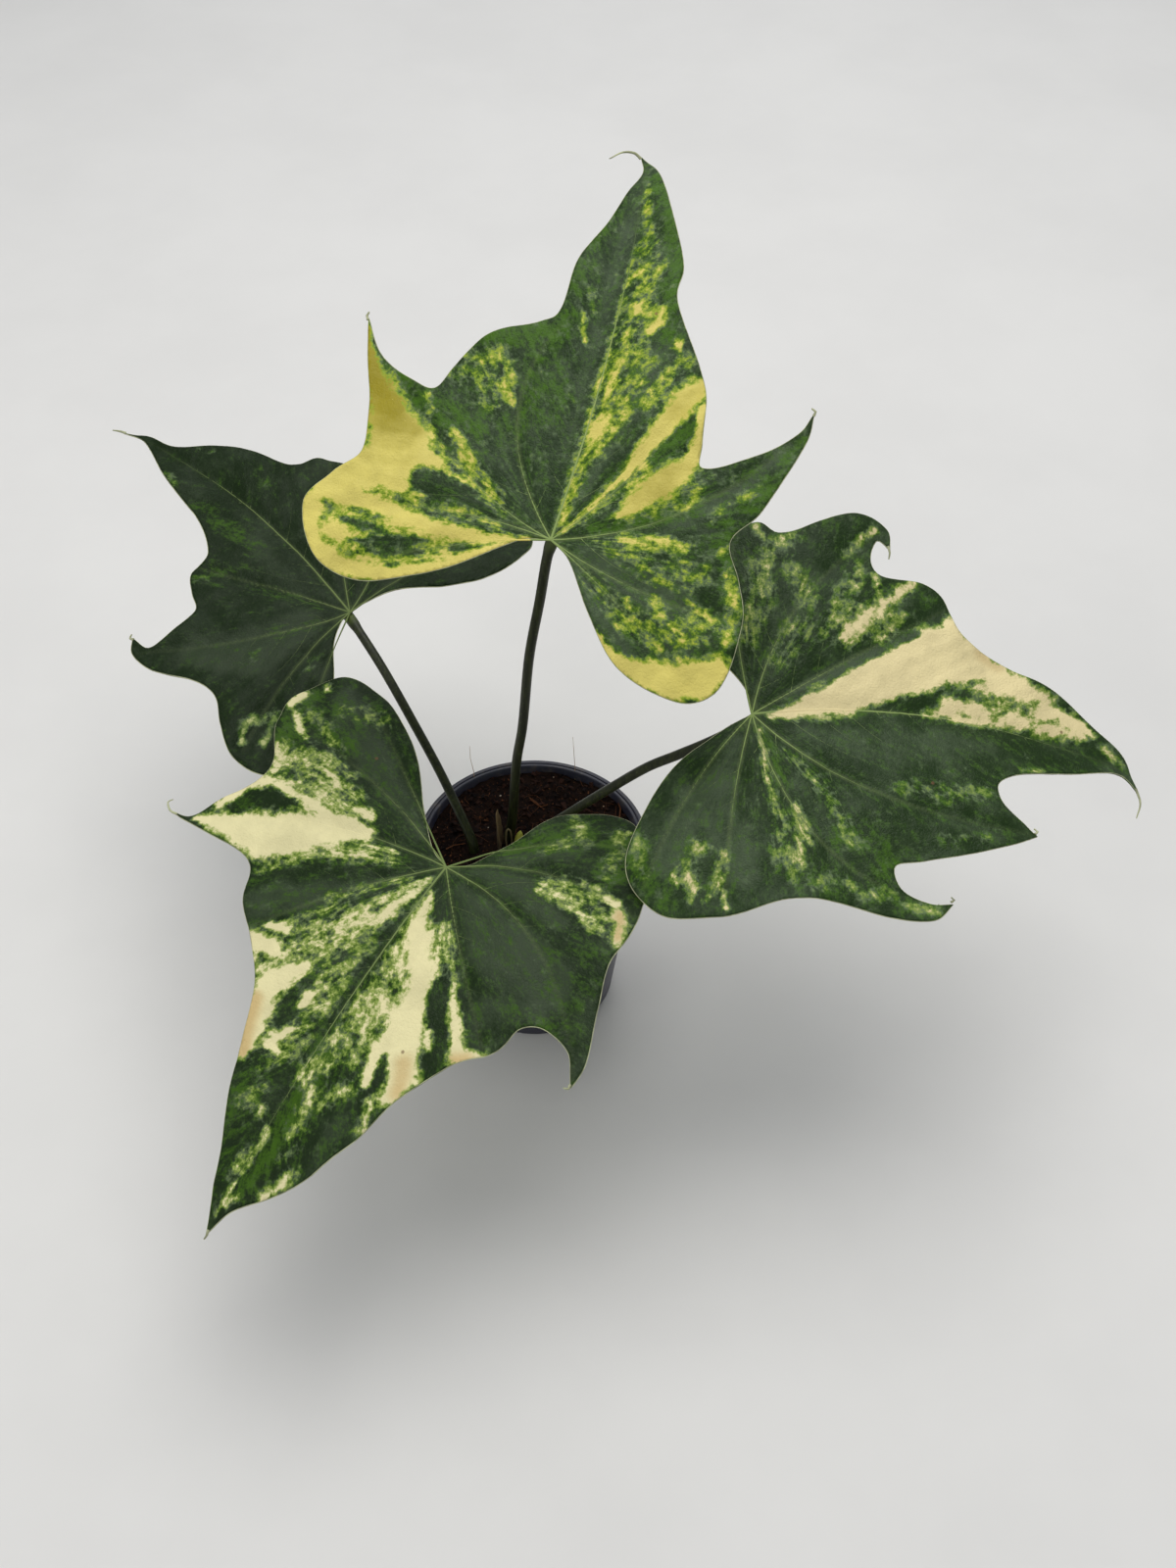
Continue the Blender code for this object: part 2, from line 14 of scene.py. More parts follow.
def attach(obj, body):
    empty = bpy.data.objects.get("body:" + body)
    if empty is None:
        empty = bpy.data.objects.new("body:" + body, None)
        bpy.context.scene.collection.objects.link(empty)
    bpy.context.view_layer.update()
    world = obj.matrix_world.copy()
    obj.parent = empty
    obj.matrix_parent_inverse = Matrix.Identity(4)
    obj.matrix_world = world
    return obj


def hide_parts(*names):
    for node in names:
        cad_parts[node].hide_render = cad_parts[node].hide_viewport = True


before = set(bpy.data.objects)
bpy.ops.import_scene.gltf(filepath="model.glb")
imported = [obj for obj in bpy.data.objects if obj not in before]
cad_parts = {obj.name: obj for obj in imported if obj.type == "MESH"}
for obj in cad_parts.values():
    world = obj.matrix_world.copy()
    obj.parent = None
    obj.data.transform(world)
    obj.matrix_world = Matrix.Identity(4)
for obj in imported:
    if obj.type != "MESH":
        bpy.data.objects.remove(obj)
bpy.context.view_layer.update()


# The pot is a thin nursery pot, moulded in one piece from soft blue-black plastic. Its
# wall tapers down to a foot ring, its rim is folded out over a short skirt, and six
# drain holes pierce the ring of the floor that is raised off the ground.
MM = 0.001
WELD = 0.01
POT_HEIGHT = 110.0
RIM_RADIUS = 60.0
RIM_STEP = 3.6
RIM_FOLD = 1.4
SKIRT_HEIGHT = 9.0
BASE_RADIUS = 42.0
POT_WALL = 1.2
WALL_STEP_HEIGHT = 82.0
FOOT_WIDTH = 5.0
FLOOR_RISE = 2.5
DRAIN_HOLES = 6
DRAIN_RADIUS = 3.5
DRAIN_CIRCLE = 27.0
DRILL_LENGTH = 20.0
POT_STEPS = 144
EDGE_ROUNDING = 0.18
EDGE_ANGLE = 30.0
SMOOTH_ANGLE = 38.0
PLASTIC = (0.020, 0.021, 0.038)
PLASTIC_RUBBED = (0.052, 0.054, 0.082)
PLASTIC_DUST = (0.115, 0.095, 0.075)
DUST_HEIGHTS = (80.0, 112.0)


def new_finish(name, roughness, specular=0.5):
    """A new material, its node tree and its shader."""
    material = bpy.data.materials.new(name)
    material.use_nodes = True
    shader = material.node_tree.nodes["Principled BSDF"]
    shader.inputs["Roughness"].default_value = roughness
    shader.inputs["Specular IOR Level"].default_value = specular
    return material, material.node_tree, shader


def add_node(tree, kind, inputs, **settings):
    """A shader node with its settings, and its sockets given values or linked."""
    made = tree.nodes.new("ShaderNode" + kind)
    for key, value in settings.items():
        setattr(made, key, value)
    for key, value in inputs.items():
        if isinstance(value, bpy.types.NodeSocket):
            tree.links.new(value, made.inputs[key])
        elif isinstance(value, tuple) and made.inputs[key].type == "RGBA":
            made.inputs[key].default_value = (*value, 1.0)
        else:
            made.inputs[key].default_value = value
    return made


def blend(tree, share, low, high):
    """The colour low where share is 0, high where it is 1, and a mix between."""
    return add_node(tree, "Mix", {0: share, 6: low, 7: high}, data_type="RGBA").outputs[2]


def ease(tree, value, low, high):
    """0 up to low, 1 from high on, and a smooth step between, also where low is the larger."""
    inputs = {"Value": value, "From Min": low, "From Max": high}
    return add_node(tree, "MapRange", inputs, interpolation_type="SMOOTHSTEP").outputs[0]


def sums(tree, operation, first, second):
    return add_node(tree, "Math", {0: first, 1: second}, operation=operation).outputs[0]


def plus(tree, first, second):
    return sums(tree, "ADD", first, second)


def times(tree, first, second):
    return sums(tree, "MULTIPLY", first, second)


def stretched(tree, vector, scale):
    return add_node(tree, "VectorMath", {0: vector, 1: scale}, operation="MULTIPLY").outputs[0]


def mottling(tree, vector, scale, detail=3.0, roughness=0.55):
    """Cloudy noise round 0.5, finer with a larger scale."""
    inputs = {"Vector": vector, "Scale": scale, "Detail": detail, "Roughness": roughness}
    return add_node(tree, "TexNoise", inputs).outputs[0]


def object_place(tree):
    return add_node(tree, "TexCoord", {}).outputs["Object"]


def use_colour(tree, shader, colour):
    tree.links.new(colour, shader.inputs["Base Color"])


def vary_gloss(tree, shader, share, low, high):
    """Roughness that runs from low to high as share runs from 0 to 1."""
    rough = add_node(tree, "MapRange", {"Value": share, "To Min": low, "To Max": high})
    tree.links.new(rough.outputs[0], shader.inputs["Roughness"])


def raise_surface(tree, shader, height, depth):
    """A bump that is depth millimetres high where height is 1."""
    bump = add_node(tree, "Bump", {"Height": height, "Distance": depth * MM, "Strength": 1.0})
    tree.links.new(bump.outputs[0], shader.inputs["Normal"])


def plastic_finish():
    """Dull plastic, rubbed paler in patches, with dried soil dust below the rim."""
    material, tree, shader = new_finish("pot_plastic", 0.45)
    place = object_place(tree)
    height = add_node(tree, "SeparateXYZ", {0: place}).outputs[2]
    rubbed = ease(tree, mottling(tree, place, 60.0, 5.0, 0.65), 0.50, 0.72)
    scuffs = ease(tree, mottling(tree, stretched(tree, place, (1.0, 1.0, 0.08)), 700.0), 0.62, 0.74)
    colour = blend(tree, times(tree, rubbed, 0.45), PLASTIC, PLASTIC_RUBBED)
    colour = blend(tree, times(tree, scuffs, 0.30), colour, PLASTIC_RUBBED)
    dust = ease(tree, mottling(tree, place, 140.0, 6.0, 0.7), 0.48, 0.70)
    near_rim = ease(tree, height, *(MM * limit for limit in DUST_HEIGHTS))
    dust = times(tree, dust, times(tree, near_rim, 0.5))
    use_colour(tree, shader, blend(tree, dust, colour, PLASTIC_DUST))
    vary_gloss(tree, shader, rubbed, 0.38, 0.60)
    raise_surface(tree, shader, mottling(tree, place, 1500.0), 0.06)
    return material


def finished_mesh(name, bm):
    mesh = bpy.data.meshes.new(name)
    bm.to_mesh(mesh)
    bm.free()
    return mesh


def put_in_scene(name, data):
    item = bpy.data.objects.new(name, data)
    bpy.context.scene.collection.objects.link(item)
    return item


def add_mesh_piece(name, mesh, materials, replaced=()):
    """A piece in metres that rides on the root and stands for the replaced nodes."""
    for material in materials:
        mesh.materials.append(material)
    item = put_in_scene(name, mesh)
    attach(item, "root")
    if replaced:
        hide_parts(*replaced)
    return item


def add_piece(name, bm, materials, replaced=(), smooth_angle=SMOOTH_ANGLE):
    """Turns a mesh drawn in millimetres into a piece, smooth across edges up to that angle."""
    bmesh.ops.scale(bm, verts=bm.verts, vec=(MM, MM, MM))
    mesh = finished_mesh(name, bm)
    mesh.shade_smooth()
    mesh.set_sharp_from_angle(angle=math.radians(smooth_angle))
    return add_mesh_piece(name, mesh, materials, replaced)


def turned(profile, steps, centre=(0.0, 0.0)):
    """A profile of (radius, height) points turned once round an upright axis."""
    bm = bmesh.new()
    points = [bm.verts.new((radius, 0.0, height)) for radius, height in profile]
    edges = [bm.edges.new(pair) for pair in zip(points, points[1:])]
    bmesh.ops.spin(bm, geom=points + edges, cent=(0, 0, 0), axis=(0, 0, 1),
                   angle=math.tau, steps=steps, use_merge=True)
    bmesh.ops.remove_doubles(bm, verts=bm.verts, dist=WELD)
    bmesh.ops.recalc_face_normals(bm, faces=bm.faces)
    bmesh.ops.translate(bm, verts=bm.verts, vec=(*centre, 0.0))
    return bm


def wall_radius(height):
    """Outer radius of the pot's tapering wall."""
    return BASE_RADIUS + (RIM_RADIUS - RIM_STEP - BASE_RADIUS) * height / POT_HEIGHT


def pot_profile():
    """The pot's outline from the middle of its underside out, up, over the rim and back in."""
    skirt_foot = POT_HEIGHT - SKIRT_HEIGHT
    fold_foot = POT_HEIGHT - RIM_FOLD
    lip = wall_radius(POT_HEIGHT)
    foot_inside = BASE_RADIUS - FOOT_WIDTH
    middle = DRAIN_CIRCLE - (foot_inside - DRAIN_CIRCLE)
    step = wall_radius(WALL_STEP_HEIGHT)
    return [
        (0.0, 0.0), (middle, 0.0), (middle + 1.5, FLOOR_RISE), (foot_inside - 1.5, FLOOR_RISE),
        (foot_inside, 0.0), (BASE_RADIUS - 1.0, 0.0), (wall_radius(1.5), 1.5),
        (step, WALL_STEP_HEIGHT), (step + 0.5, WALL_STEP_HEIGHT + 0.6),
        (wall_radius(fold_foot), fold_foot),
        (RIM_RADIUS - POT_WALL, fold_foot), (RIM_RADIUS - POT_WALL, skirt_foot),
        (RIM_RADIUS, skirt_foot), (RIM_RADIUS, POT_HEIGHT - 0.6), (RIM_RADIUS - 0.5, POT_HEIGHT),
        (lip + 1.3, POT_HEIGHT), (lip + 1.1, POT_HEIGHT - 0.7), (lip + 0.7, POT_HEIGHT - 0.7),
        (lip + 0.5, POT_HEIGHT), (lip - 0.6, POT_HEIGHT), (lip - POT_WALL, POT_HEIGHT - 0.8),
        (wall_radius(POT_WALL) - POT_WALL, POT_WALL), (foot_inside - 0.3, POT_WALL),
        (foot_inside - 1.8, FLOOR_RISE + POT_WALL), (middle + 1.8, FLOOR_RISE + POT_WALL),
        (middle + 0.3, POT_WALL), (0.0, POT_WALL),
    ]


def round_edges(bm):
    sharp = [edge for edge in bm.edges if edge.is_manifold
             and edge.calc_face_angle() > math.radians(EDGE_ANGLE)]
    bmesh.ops.bevel(bm, geom=sharp, offset=EDGE_ROUNDING, offset_type="OFFSET", segments=2,
                    profile=0.5, affect="EDGES", clamp_overlap=True, material=-1)


def drilled(bm):
    """The pot's mesh with its drain holes cut through the floor."""
    drills = bmesh.new()
    for i in range(DRAIN_HOLES):
        angle = math.tau * i / DRAIN_HOLES
        made = bmesh.ops.create_cone(drills, segments=32, radius1=DRAIN_RADIUS, radius2=DRAIN_RADIUS,
                                     depth=DRILL_LENGTH, cap_ends=True)
        bmesh.ops.translate(drills, verts=made["verts"],
                            vec=(DRAIN_CIRCLE * math.cos(angle), DRAIN_CIRCLE * math.sin(angle), 0.0))
    blank = put_in_scene("pot_blank", finished_mesh("pot_blank", bm))
    drill = put_in_scene("drills", finished_mesh("drills", drills))
    cut = blank.modifiers.new("holes", "BOOLEAN")
    cut.operation = "DIFFERENCE"
    cut.solver = "EXACT"
    cut.object = drill
    seen = blank.evaluated_get(bpy.context.evaluated_depsgraph_get())
    pot = bmesh.new()
    pot.from_mesh(seen.data)
    for item in (blank, drill):
        bpy.data.objects.remove(item)
    return pot


pot_mesh = turned(pot_profile(), POT_STEPS)
round_edges(pot_mesh)
add_piece("nursery_pot", drilled(pot_mesh), [plastic_finish()], ["pot"])


# The soil is a mix of bark crumbs and coir that fills the pot to just under its rim. It
# is one rough crumbly mass, poured in and pressed down, so its top is lumpy.
SOIL_TOP = 106.0
SOIL_CELL = 1.5
SOIL_GAP = 0.3
LUMP_SIZE = 16.0
LUMP_HEIGHT = 1.6
CHIP_SIZE = 5.0
CHIP_HEIGHT = 1.3
CRUMB_SIZE = 1.9
CRUMB_HEIGHT = 0.55
ALL_SMOOTH = 180.0
# These colours are partly the soil's own dark brown and partly painted shade, darker than the soil is, for
# the shade it lies in under the rim and the leaves.
SHADED_SOIL_DARK = (0.004, 0.002, 0.002)
SHADED_SOIL_BROWN = (0.011, 0.005, 0.003)
SHADED_BARK_RUST = (0.120, 0.045, 0.018)


def soil_height(x, y):
    """The same lumps and chips as the solid's, with finer crumbs on them."""
    lump = noise.noise(Vector((x, y, 0.0)) / LUMP_SIZE)
    chip = noise.noise(Vector((x, y, LUMP_SIZE)) / CHIP_SIZE)
    crumb = noise.noise(Vector((x, y, 3 * LUMP_SIZE)) / CRUMB_SIZE)
    return SOIL_TOP + lump * LUMP_HEIGHT + chip * CHIP_HEIGHT + crumb * CRUMB_HEIGHT


def slice_evenly(bm, cell):
    """Slices a flat mesh both ways into square cells of about that size."""
    for axis in (0, 1):
        low = min(vert.co[axis] for vert in bm.verts)
        high = max(vert.co[axis] for vert in bm.verts)
        count = round((high - low) / cell)
        across = Vector((1.0, 0.0, 0.0)) if axis == 0 else Vector((0.0, 1.0, 0.0))
        for k in range(1, count):
            bmesh.ops.bisect_plane(bm, geom=bm.verts[:] + bm.edges[:] + bm.faces[:], dist=1e-4,
                                   plane_co=across * (low + (high - low) * k / count),
                                   plane_no=across)


def soil_finish():
    """Dark crumbs with rusty specks, darkened partly as painted shade."""
    material, tree, shader = new_finish("bark_and_coir", 0.95, 0.1)
    place = object_place(tree)
    crumbs = add_node(tree, "TexVoronoi", {"Vector": place, "Scale": 420.0})
    tint = add_node(tree, "SeparateColor", {0: crumbs.outputs["Color"]}).outputs[0]
    colour = blend(tree, ease(tree, tint, 0.1, 0.8), SHADED_SOIL_DARK, SHADED_SOIL_BROWN)
    specks = ease(tree, mottling(tree, place, 900.0), 0.64, 0.72)
    use_colour(tree, shader, blend(tree, specks, colour, SHADED_BARK_RUST))
    raise_surface(tree, shader, mottling(tree, place, 1100.0, 6.0, 0.7), 0.7)
    return material


def soil_body():
    """A disc sliced fine and made lumpy, with its edge drawn down the wall to the floor."""
    edge = wall_radius(SOIL_TOP) - POT_WALL - SOIL_GAP
    floor = FLOOR_RISE + POT_WALL + SOIL_GAP
    foot = wall_radius(floor) - POT_WALL - SOIL_GAP
    bm = bmesh.new()
    bmesh.ops.create_circle(bm, cap_ends=True, radius=edge, segments=POT_STEPS)
    slice_evenly(bm, SOIL_CELL)
    for vert in bm.verts:
        vert.co.z = soil_height(vert.co.x, vert.co.y)
    rim = [part for part in bm.edges if part.is_boundary]
    made = bmesh.ops.extrude_edge_only(bm, edges=rim)["geom"]
    for part in made:
        if isinstance(part, bmesh.types.BMVert):
            part.co = (part.co.x * foot / edge, part.co.y * foot / edge, floor)
    bmesh.ops.edgeloop_fill(bm, edges=[part for part in made if isinstance(part, bmesh.types.BMEdge)])
    bmesh.ops.recalc_face_normals(bm, faces=bm.faces)
    return bm


add_piece("potting_soil", soil_body(), [soil_finish()], ["soil"], ALL_SMOOTH)


# Loose on the soil lie chips of dark bark, rusty crumbs of coir and a little pale grit.
# They are broken and uneven, and each lies half sunk where it fell, clear of whatever
# is planted there: four stalks, the short stem and the new shoot.
PLANTED = [(-12.5, 7.0), (1.0, 4.0), (-14.0, -10.0), (-30.0, -2.0), (-5.0, -11.0), (-7.0, 0.5)]
PLANT_CLEARANCE = 4.5
LOOSE_REACH = 53.5
GRIT_REACH = 53.0
BARK_CHIPS = 620
COIR_CRUMBS = 160
PALE_GRIT = 14
CHIP_ANGLE = 25.0
GRIT_ANGLE = 40.0
# The bark's red is darkened partly as painted shade, like the soil's colours.
SHADED_BARK_RED = (0.026, 0.010, 0.006)
FIBRE_TAN = (0.420, 0.250, 0.130)
GRIT_PALE = (0.420, 0.380, 0.320)
chance = random.Random(11)


def read_attribute(tree, name, output="Fac"):
    return add_node(tree, "Attribute", {}, attribute_name=name).outputs[output]


def tinted_finish(name, low, high, roughness, grain_depth):
    """A rough finish whose colour goes from low to high with the piece's tone attribute."""
    material, tree, shader = new_finish(name, roughness, 0.15)
    tone = read_attribute(tree, "tone")
    streak = mottling(tree, object_place(tree), 800.0, 4.0, 0.7)
    share = plus(tree, tone, times(tree, streak, 0.8))
    use_colour(tree, shader, blend(tree, ease(tree, share, 0.35, 1.35), low, high))
    raise_surface(tree, shader, streak, grain_depth)
    return material


def free_place(reach):
    """A seeded spot on the soil that keeps off everything planted in it."""
    while True:
        angle = chance.uniform(0.0, math.tau)
        radius = reach * math.sqrt(chance.random())
        x, y = radius * math.cos(angle), radius * math.sin(angle)
        if all(math.hypot(x - px, y - py) > PLANT_CLEARANCE for px, py in PLANTED):
            return x, y


def scattered(count, sizes, shape, reach, sink):
    """Many small rough solids lying on the soil, each with its own tone."""
    bm = bmesh.new()
    tone = bm.verts.layers.float.new("tone")
    for _ in range(count):
        x, y = free_place(reach)
        length = chance.uniform(*sizes) * chance.uniform(0.6, 1.0)
        made = bmesh.ops.create_icosphere(bm, subdivisions=1, radius=1.0)["verts"]
        size = Vector((length * share / 2 for share in shape))
        turn = Matrix.Rotation(chance.uniform(0.0, math.tau), 3, "Z") \
            @ Matrix.Rotation(chance.gauss(0.0, 0.5), 3, "Y") \
            @ Matrix.Rotation(chance.gauss(0.0, 0.35), 3, "X")
        shade = chance.random()
        z = soil_height(x, y) + size.z * sink
        for vert in made:
            rough = Vector(round(axis * 1.4) / 1.4 * chance.uniform(0.75, 1.2) for axis in vert.co)
            vert.co = turn @ (rough * size) + Vector((x, y, z))
            vert[tone] = shade
    return bm


add_piece("bark_chips", scattered(BARK_CHIPS, (1.6, 6.5), (1.0, 0.55, 0.32), LOOSE_REACH, 0.5),
          [tinted_finish("bark", SHADED_SOIL_DARK, SHADED_BARK_RED, 0.9, 0.3)], (), CHIP_ANGLE)
add_piece("coir_crumbs", scattered(COIR_CRUMBS, (1.2, 3.6), (1.0, 0.35, 0.3), LOOSE_REACH, 0.7),
          [tinted_finish("coir_crumb", SHADED_BARK_RED, SHADED_BARK_RUST, 0.9, 0.2)], (), CHIP_ANGLE)
add_piece("pale_grit", scattered(PALE_GRIT, (0.7, 1.7), (1.0, 0.9, 0.7), GRIT_REACH, 0.5),
          [tinted_finish("grit", FIBRE_TAN, GRIT_PALE, 0.8, 0.1)], (), GRIT_ANGLE)


# Coir fibres are thin stiff threads of coconut husk that curl over the soil where they
# fell. Most are short and fine, and a few bold ones lie where the photograph has them.
COIR_FIBRES = 80
FIBRE_REACH = 52.0
FIBRE_LIMIT = 54.0
FIBRE_POINTS = 7
FIBRE_LIFT = 0.5
BOLD_LIFT = 0.8
BOLD_FIBRES = [([(-2.2, 35.0), (1.5, 31.4), (4.1, 28.6), (7.7, 29.3)], 0.38),
               ([(-1.7, 33.5), (2.6, 29.3), (6.2, 26.4)], 0.3),
               ([(-44.7, -1.5), (-40.7, 1.2), (-34.7, 2.6)], 0.34),
               ([(44.7, 33.5), (46.2, 27.5), (45.5, 19.7)], 0.42),
               ([(-33.1, 26.2), (-32.4, 22.0)], 0.28), ([(-25.4, 26.2), (-24.1, 20.6)], 0.26),
               ([(-46.7, 17.8), (-43.9, 12.9)], 0.28)]


def tube_mesh(name, paths, resolution):
    """Round closed tubes along paths of (x, y, z, radius) in millimetres, as one mesh."""
    curve = bpy.data.curves.new(name, "CURVE")
    curve.dimensions = "3D"
    curve.bevel_depth = MM
    curve.bevel_resolution = resolution
    curve.use_fill_caps = True
    for path in paths:
        spline = curve.splines.new("POLY")
        spline.points.add(len(path) - 1)
        for spot, (x, y, z, radius) in zip(spline.points, path):
            spot.co = (x * MM, y * MM, z * MM, 1.0)
            spot.radius = radius
        spline.use_smooth = True
    item = bpy.data.objects.new(name, curve)
    mesh = bpy.data.meshes.new_from_object(item)
    bpy.data.objects.remove(item)
    mesh.name = name
    return mesh


def fibre_path(start, length, lift, radius):
    """A thin wandering fibre that lies on the soil, arching over it by lift."""
    x, y = start
    heading = chance.uniform(0.0, math.tau)
    bend = chance.gauss(0.0, 0.45)
    path = []
    for k in range(FIBRE_POINTS):
        if math.hypot(x, y) > FIBRE_LIMIT:
            break
        arch = lift * math.sin(math.pi * k / (FIBRE_POINTS - 1))
        path.append((x, y, soil_height(x, y) + FIBRE_LIFT + arch, radius * (1.0 - 0.08 * k)))
        heading += bend + chance.gauss(0.0, 0.25)
        x += length / FIBRE_POINTS * math.cos(heading)
        y += length / FIBRE_POINTS * math.sin(heading)
    return path


fibres = [fibre_path(free_place(FIBRE_REACH), chance.uniform(6.0, 22.0), chance.uniform(0.0, 2.2),
                     chance.uniform(0.06, 0.14)) for _ in range(COIR_FIBRES)]
fibres += [[(x, y, soil_height(x, y) + BOLD_LIFT, radius) for x, y in strand]
           for strand, radius in BOLD_FIBRES]
add_mesh_piece("coir_fibres", tube_mesh("coir_fibres", [path for path in fibres if len(path) > 2], 0),
               [tinted_finish("coir_fibre", SHADED_BARK_RUST, FIBRE_TAN, 0.8, 0.05)])


# The stalks grow from a short woody stem between them. It is rooted in the soil, and
# the scars of old leaves ring it like low collars.
STEM_PLACE = (-5.0, -11.0)
STEM_RADIUS = 4.2
STEM_FOOT = 88.0
STEM_TOP = 110.0
STEM_KNOBS = 0.22
SCAR_RINGS = 5
SCAR_START = 5.0
SCAR_GAP = 1.7
PLANT_ANGLE = 60.0
STEM_BARK = (0.100, 0.070, 0.032)
STEM_PALE = (0.210, 0.170, 0.080)


def centred(tree, value, weight):
    """A value that lies round 0.5, moved to lie round 0 and weighted."""
    return times(tree, sums(tree, "SUBTRACT", value, 0.5), weight)


def risen_finish(name, low_colour, high_colour, low, high, roughness, grooves):
    """A finish that changes with height, from low to high in millimetres, with upright grooves."""
    material, tree, shader = new_finish(name, roughness)
    place = object_place(tree)
    height = add_node(tree, "SeparateXYZ", {0: place}).outputs[2]
    groove = mottling(tree, stretched(tree, place, (1.0, 1.0, 0.1)), grooves, 4.0, 0.65)
    share = plus(tree, ease(tree, height, low * MM, high * MM), centred(tree, groove, 1.6))
    use_colour(tree, shader, blend(tree, ease(tree, share, 0.0, 1.0), low_colour, high_colour))
    raise_surface(tree, shader, groove, 0.25)
    return material


def stem_body():
    profile = [(0.0, STEM_FOOT), (STEM_RADIUS * 0.8, STEM_FOOT)]
    for k in range(SCAR_RINGS):
        height = SOIL_TOP - SCAR_START + SCAR_GAP * k
        profile += [(STEM_RADIUS * 0.84, height), (STEM_RADIUS, height + 0.5),
                    (STEM_RADIUS * 0.97, height + 0.9)]
    profile += [(STEM_RADIUS * 0.62, STEM_TOP - 0.3), (STEM_RADIUS * 0.3, STEM_TOP + 0.5),
                (0.0, STEM_TOP + 0.8)]
    bm = turned(profile, 36, STEM_PLACE)
    for vert in bm.verts:
        out = Vector((vert.co.x - STEM_PLACE[0], vert.co.y - STEM_PLACE[1], 0.0))
        vert.co += out * STEM_KNOBS * noise.noise(vert.co / 2.2)
    return bm


add_piece("short_stem_bark", stem_body(),
          [risen_finish("stem_bark", STEM_BARK, STEM_PALE, 103.0, 112.0, 0.8, 500.0)],
          ["short_stem"], PLANT_ANGLE)


# Beside the stem stands a new shoot, a young leaf still rolled up in its bud. It is
# soft and pale at its tip, brown at its foot, and one seam winds up it.
SHOOT_PLACE = (-7.0, 0.5)
SHOOT_RADIUS = 2.6
SHOOT_FOOT = 94.0
SHOOT_TOP = 118.5
SHOOT_SHAPE = [(0.0, 0.0), (0.75, 0.0), (0.9, 0.35), (1.0, 0.58), (0.94, 0.7), (0.78, 0.82),
               (0.5, 0.92), (0.22, 0.98), (0.0, 1.0)]
SHOOT_LEAN = 0.8
SEAM_DEPTH = 0.16
SEAM_TWIST = 1.2
SHOOT_TIP = (0.420, 0.430, 0.060)
SHOOT_BASE = (0.160, 0.085, 0.035)


def shoot_body():
    height = SHOOT_TOP - SHOOT_FOOT
    bm = turned([(SHOOT_RADIUS * wide, SHOOT_FOOT + height * high) for wide, high in SHOOT_SHAPE],
                28, SHOOT_PLACE)
    for vert in bm.verts:
        above = max(0.0, vert.co.z - SOIL_TOP) / 10.0
        x, y = vert.co.x - SHOOT_PLACE[0], vert.co.y - SHOOT_PLACE[1]
        rolled = math.atan2(y, x) + SEAM_TWIST * above
        groove = 1.0 - SEAM_DEPTH * math.exp(-(math.sin(rolled / 2) / 0.12) ** 2)
        vert.co.x = SHOOT_PLACE[0] + x * groove + SHOOT_LEAN * above**2
        vert.co.y = SHOOT_PLACE[1] + y * groove
    return bm


add_piece("rolled_shoot", shoot_body(),
          [risen_finish("shoot", SHOOT_BASE, SHOOT_TIP, 108.0, 114.0, 0.45, 700.0)],
          ["new_shoot"], PLANT_ANGLE)


# The brown sheath once wrapped an older leaf. It has dried to a thin papery half tube,
# narrower upwards and torn at its top, and still stands in the soil by the stalks.
SHEATH_PLACE = (-12.5, -1.5)
SHEATH_RADIUS = 5.0
SHEATH_FOOT = 95.0
SHEATH_TOP = 134.0
SHEATH_WALL = 0.6
SHEATH_ARC = (118.0, 242.0)
SHEATH_ROWS = 44
SHEATH_COLUMNS = 26
SHEATH_TWIST = 14.0
SHEATH_BROWN = (0.050, 0.030, 0.012)
SHEATH_STRAW = (0.160, 0.105, 0.040)


def sheath_body():
    """Part of a tube that narrows upwards to a torn, ragged top."""
    bm = bmesh.new()
    line = [bm.verts.new((SHEATH_RADIUS, 0.0, k / SHEATH_ROWS)) for k in range(SHEATH_ROWS + 1)]
    edges = [bm.edges.new(pair) for pair in zip(line, line[1:])]
    arc = math.radians(SHEATH_ARC[1] - SHEATH_ARC[0])
    bmesh.ops.spin(bm, geom=line + edges, cent=(0, 0, 0), axis=(0, 0, 1), angle=arc,
                   steps=SHEATH_COLUMNS)
    for vert in bm.verts:
        across = 2.0 * math.atan2(vert.co.y, vert.co.x) / arc - 1.0
        share = vert.co.z
        ragged = 1.0 + 0.05 * noise.noise(Vector((across * 7.0, 0.3, 0.0)))
        frayed = 1.0 + 0.16 * noise.noise(Vector((share * 9.0, across, 2.0)))
        half_width = (1.0 - 0.75 * share**2.5) * frayed * arc / 2
        angle = math.radians(sum(SHEATH_ARC) / 2 - SHEATH_TWIST * share) + across * half_width
        radius = SHEATH_RADIUS + 0.35 * noise.noise(Vector((across * 3.0, share * 6.0, 5.0)))
        vert.co = (SHEATH_PLACE[0] + radius * math.cos(angle), SHEATH_PLACE[1] + radius * math.sin(angle),
                   SHEATH_FOOT + (SHEATH_TOP - SHEATH_FOOT) * share * min(1.0, ragged))
    bmesh.ops.recalc_face_normals(bm, faces=bm.faces)
    return bm


sheath_finish = risen_finish("dry_sheath", SHEATH_BROWN, SHEATH_STRAW, 100.0, 140.0, 0.8, 900.0)
papery = add_piece("papery_sheath", sheath_body(), [sheath_finish], ["old_sheath"], PLANT_ANGLE)
wall = papery.modifiers.new("wall", "SOLIDIFY")
wall.thickness = SHEATH_WALL * MM
wall.offset = 0.0


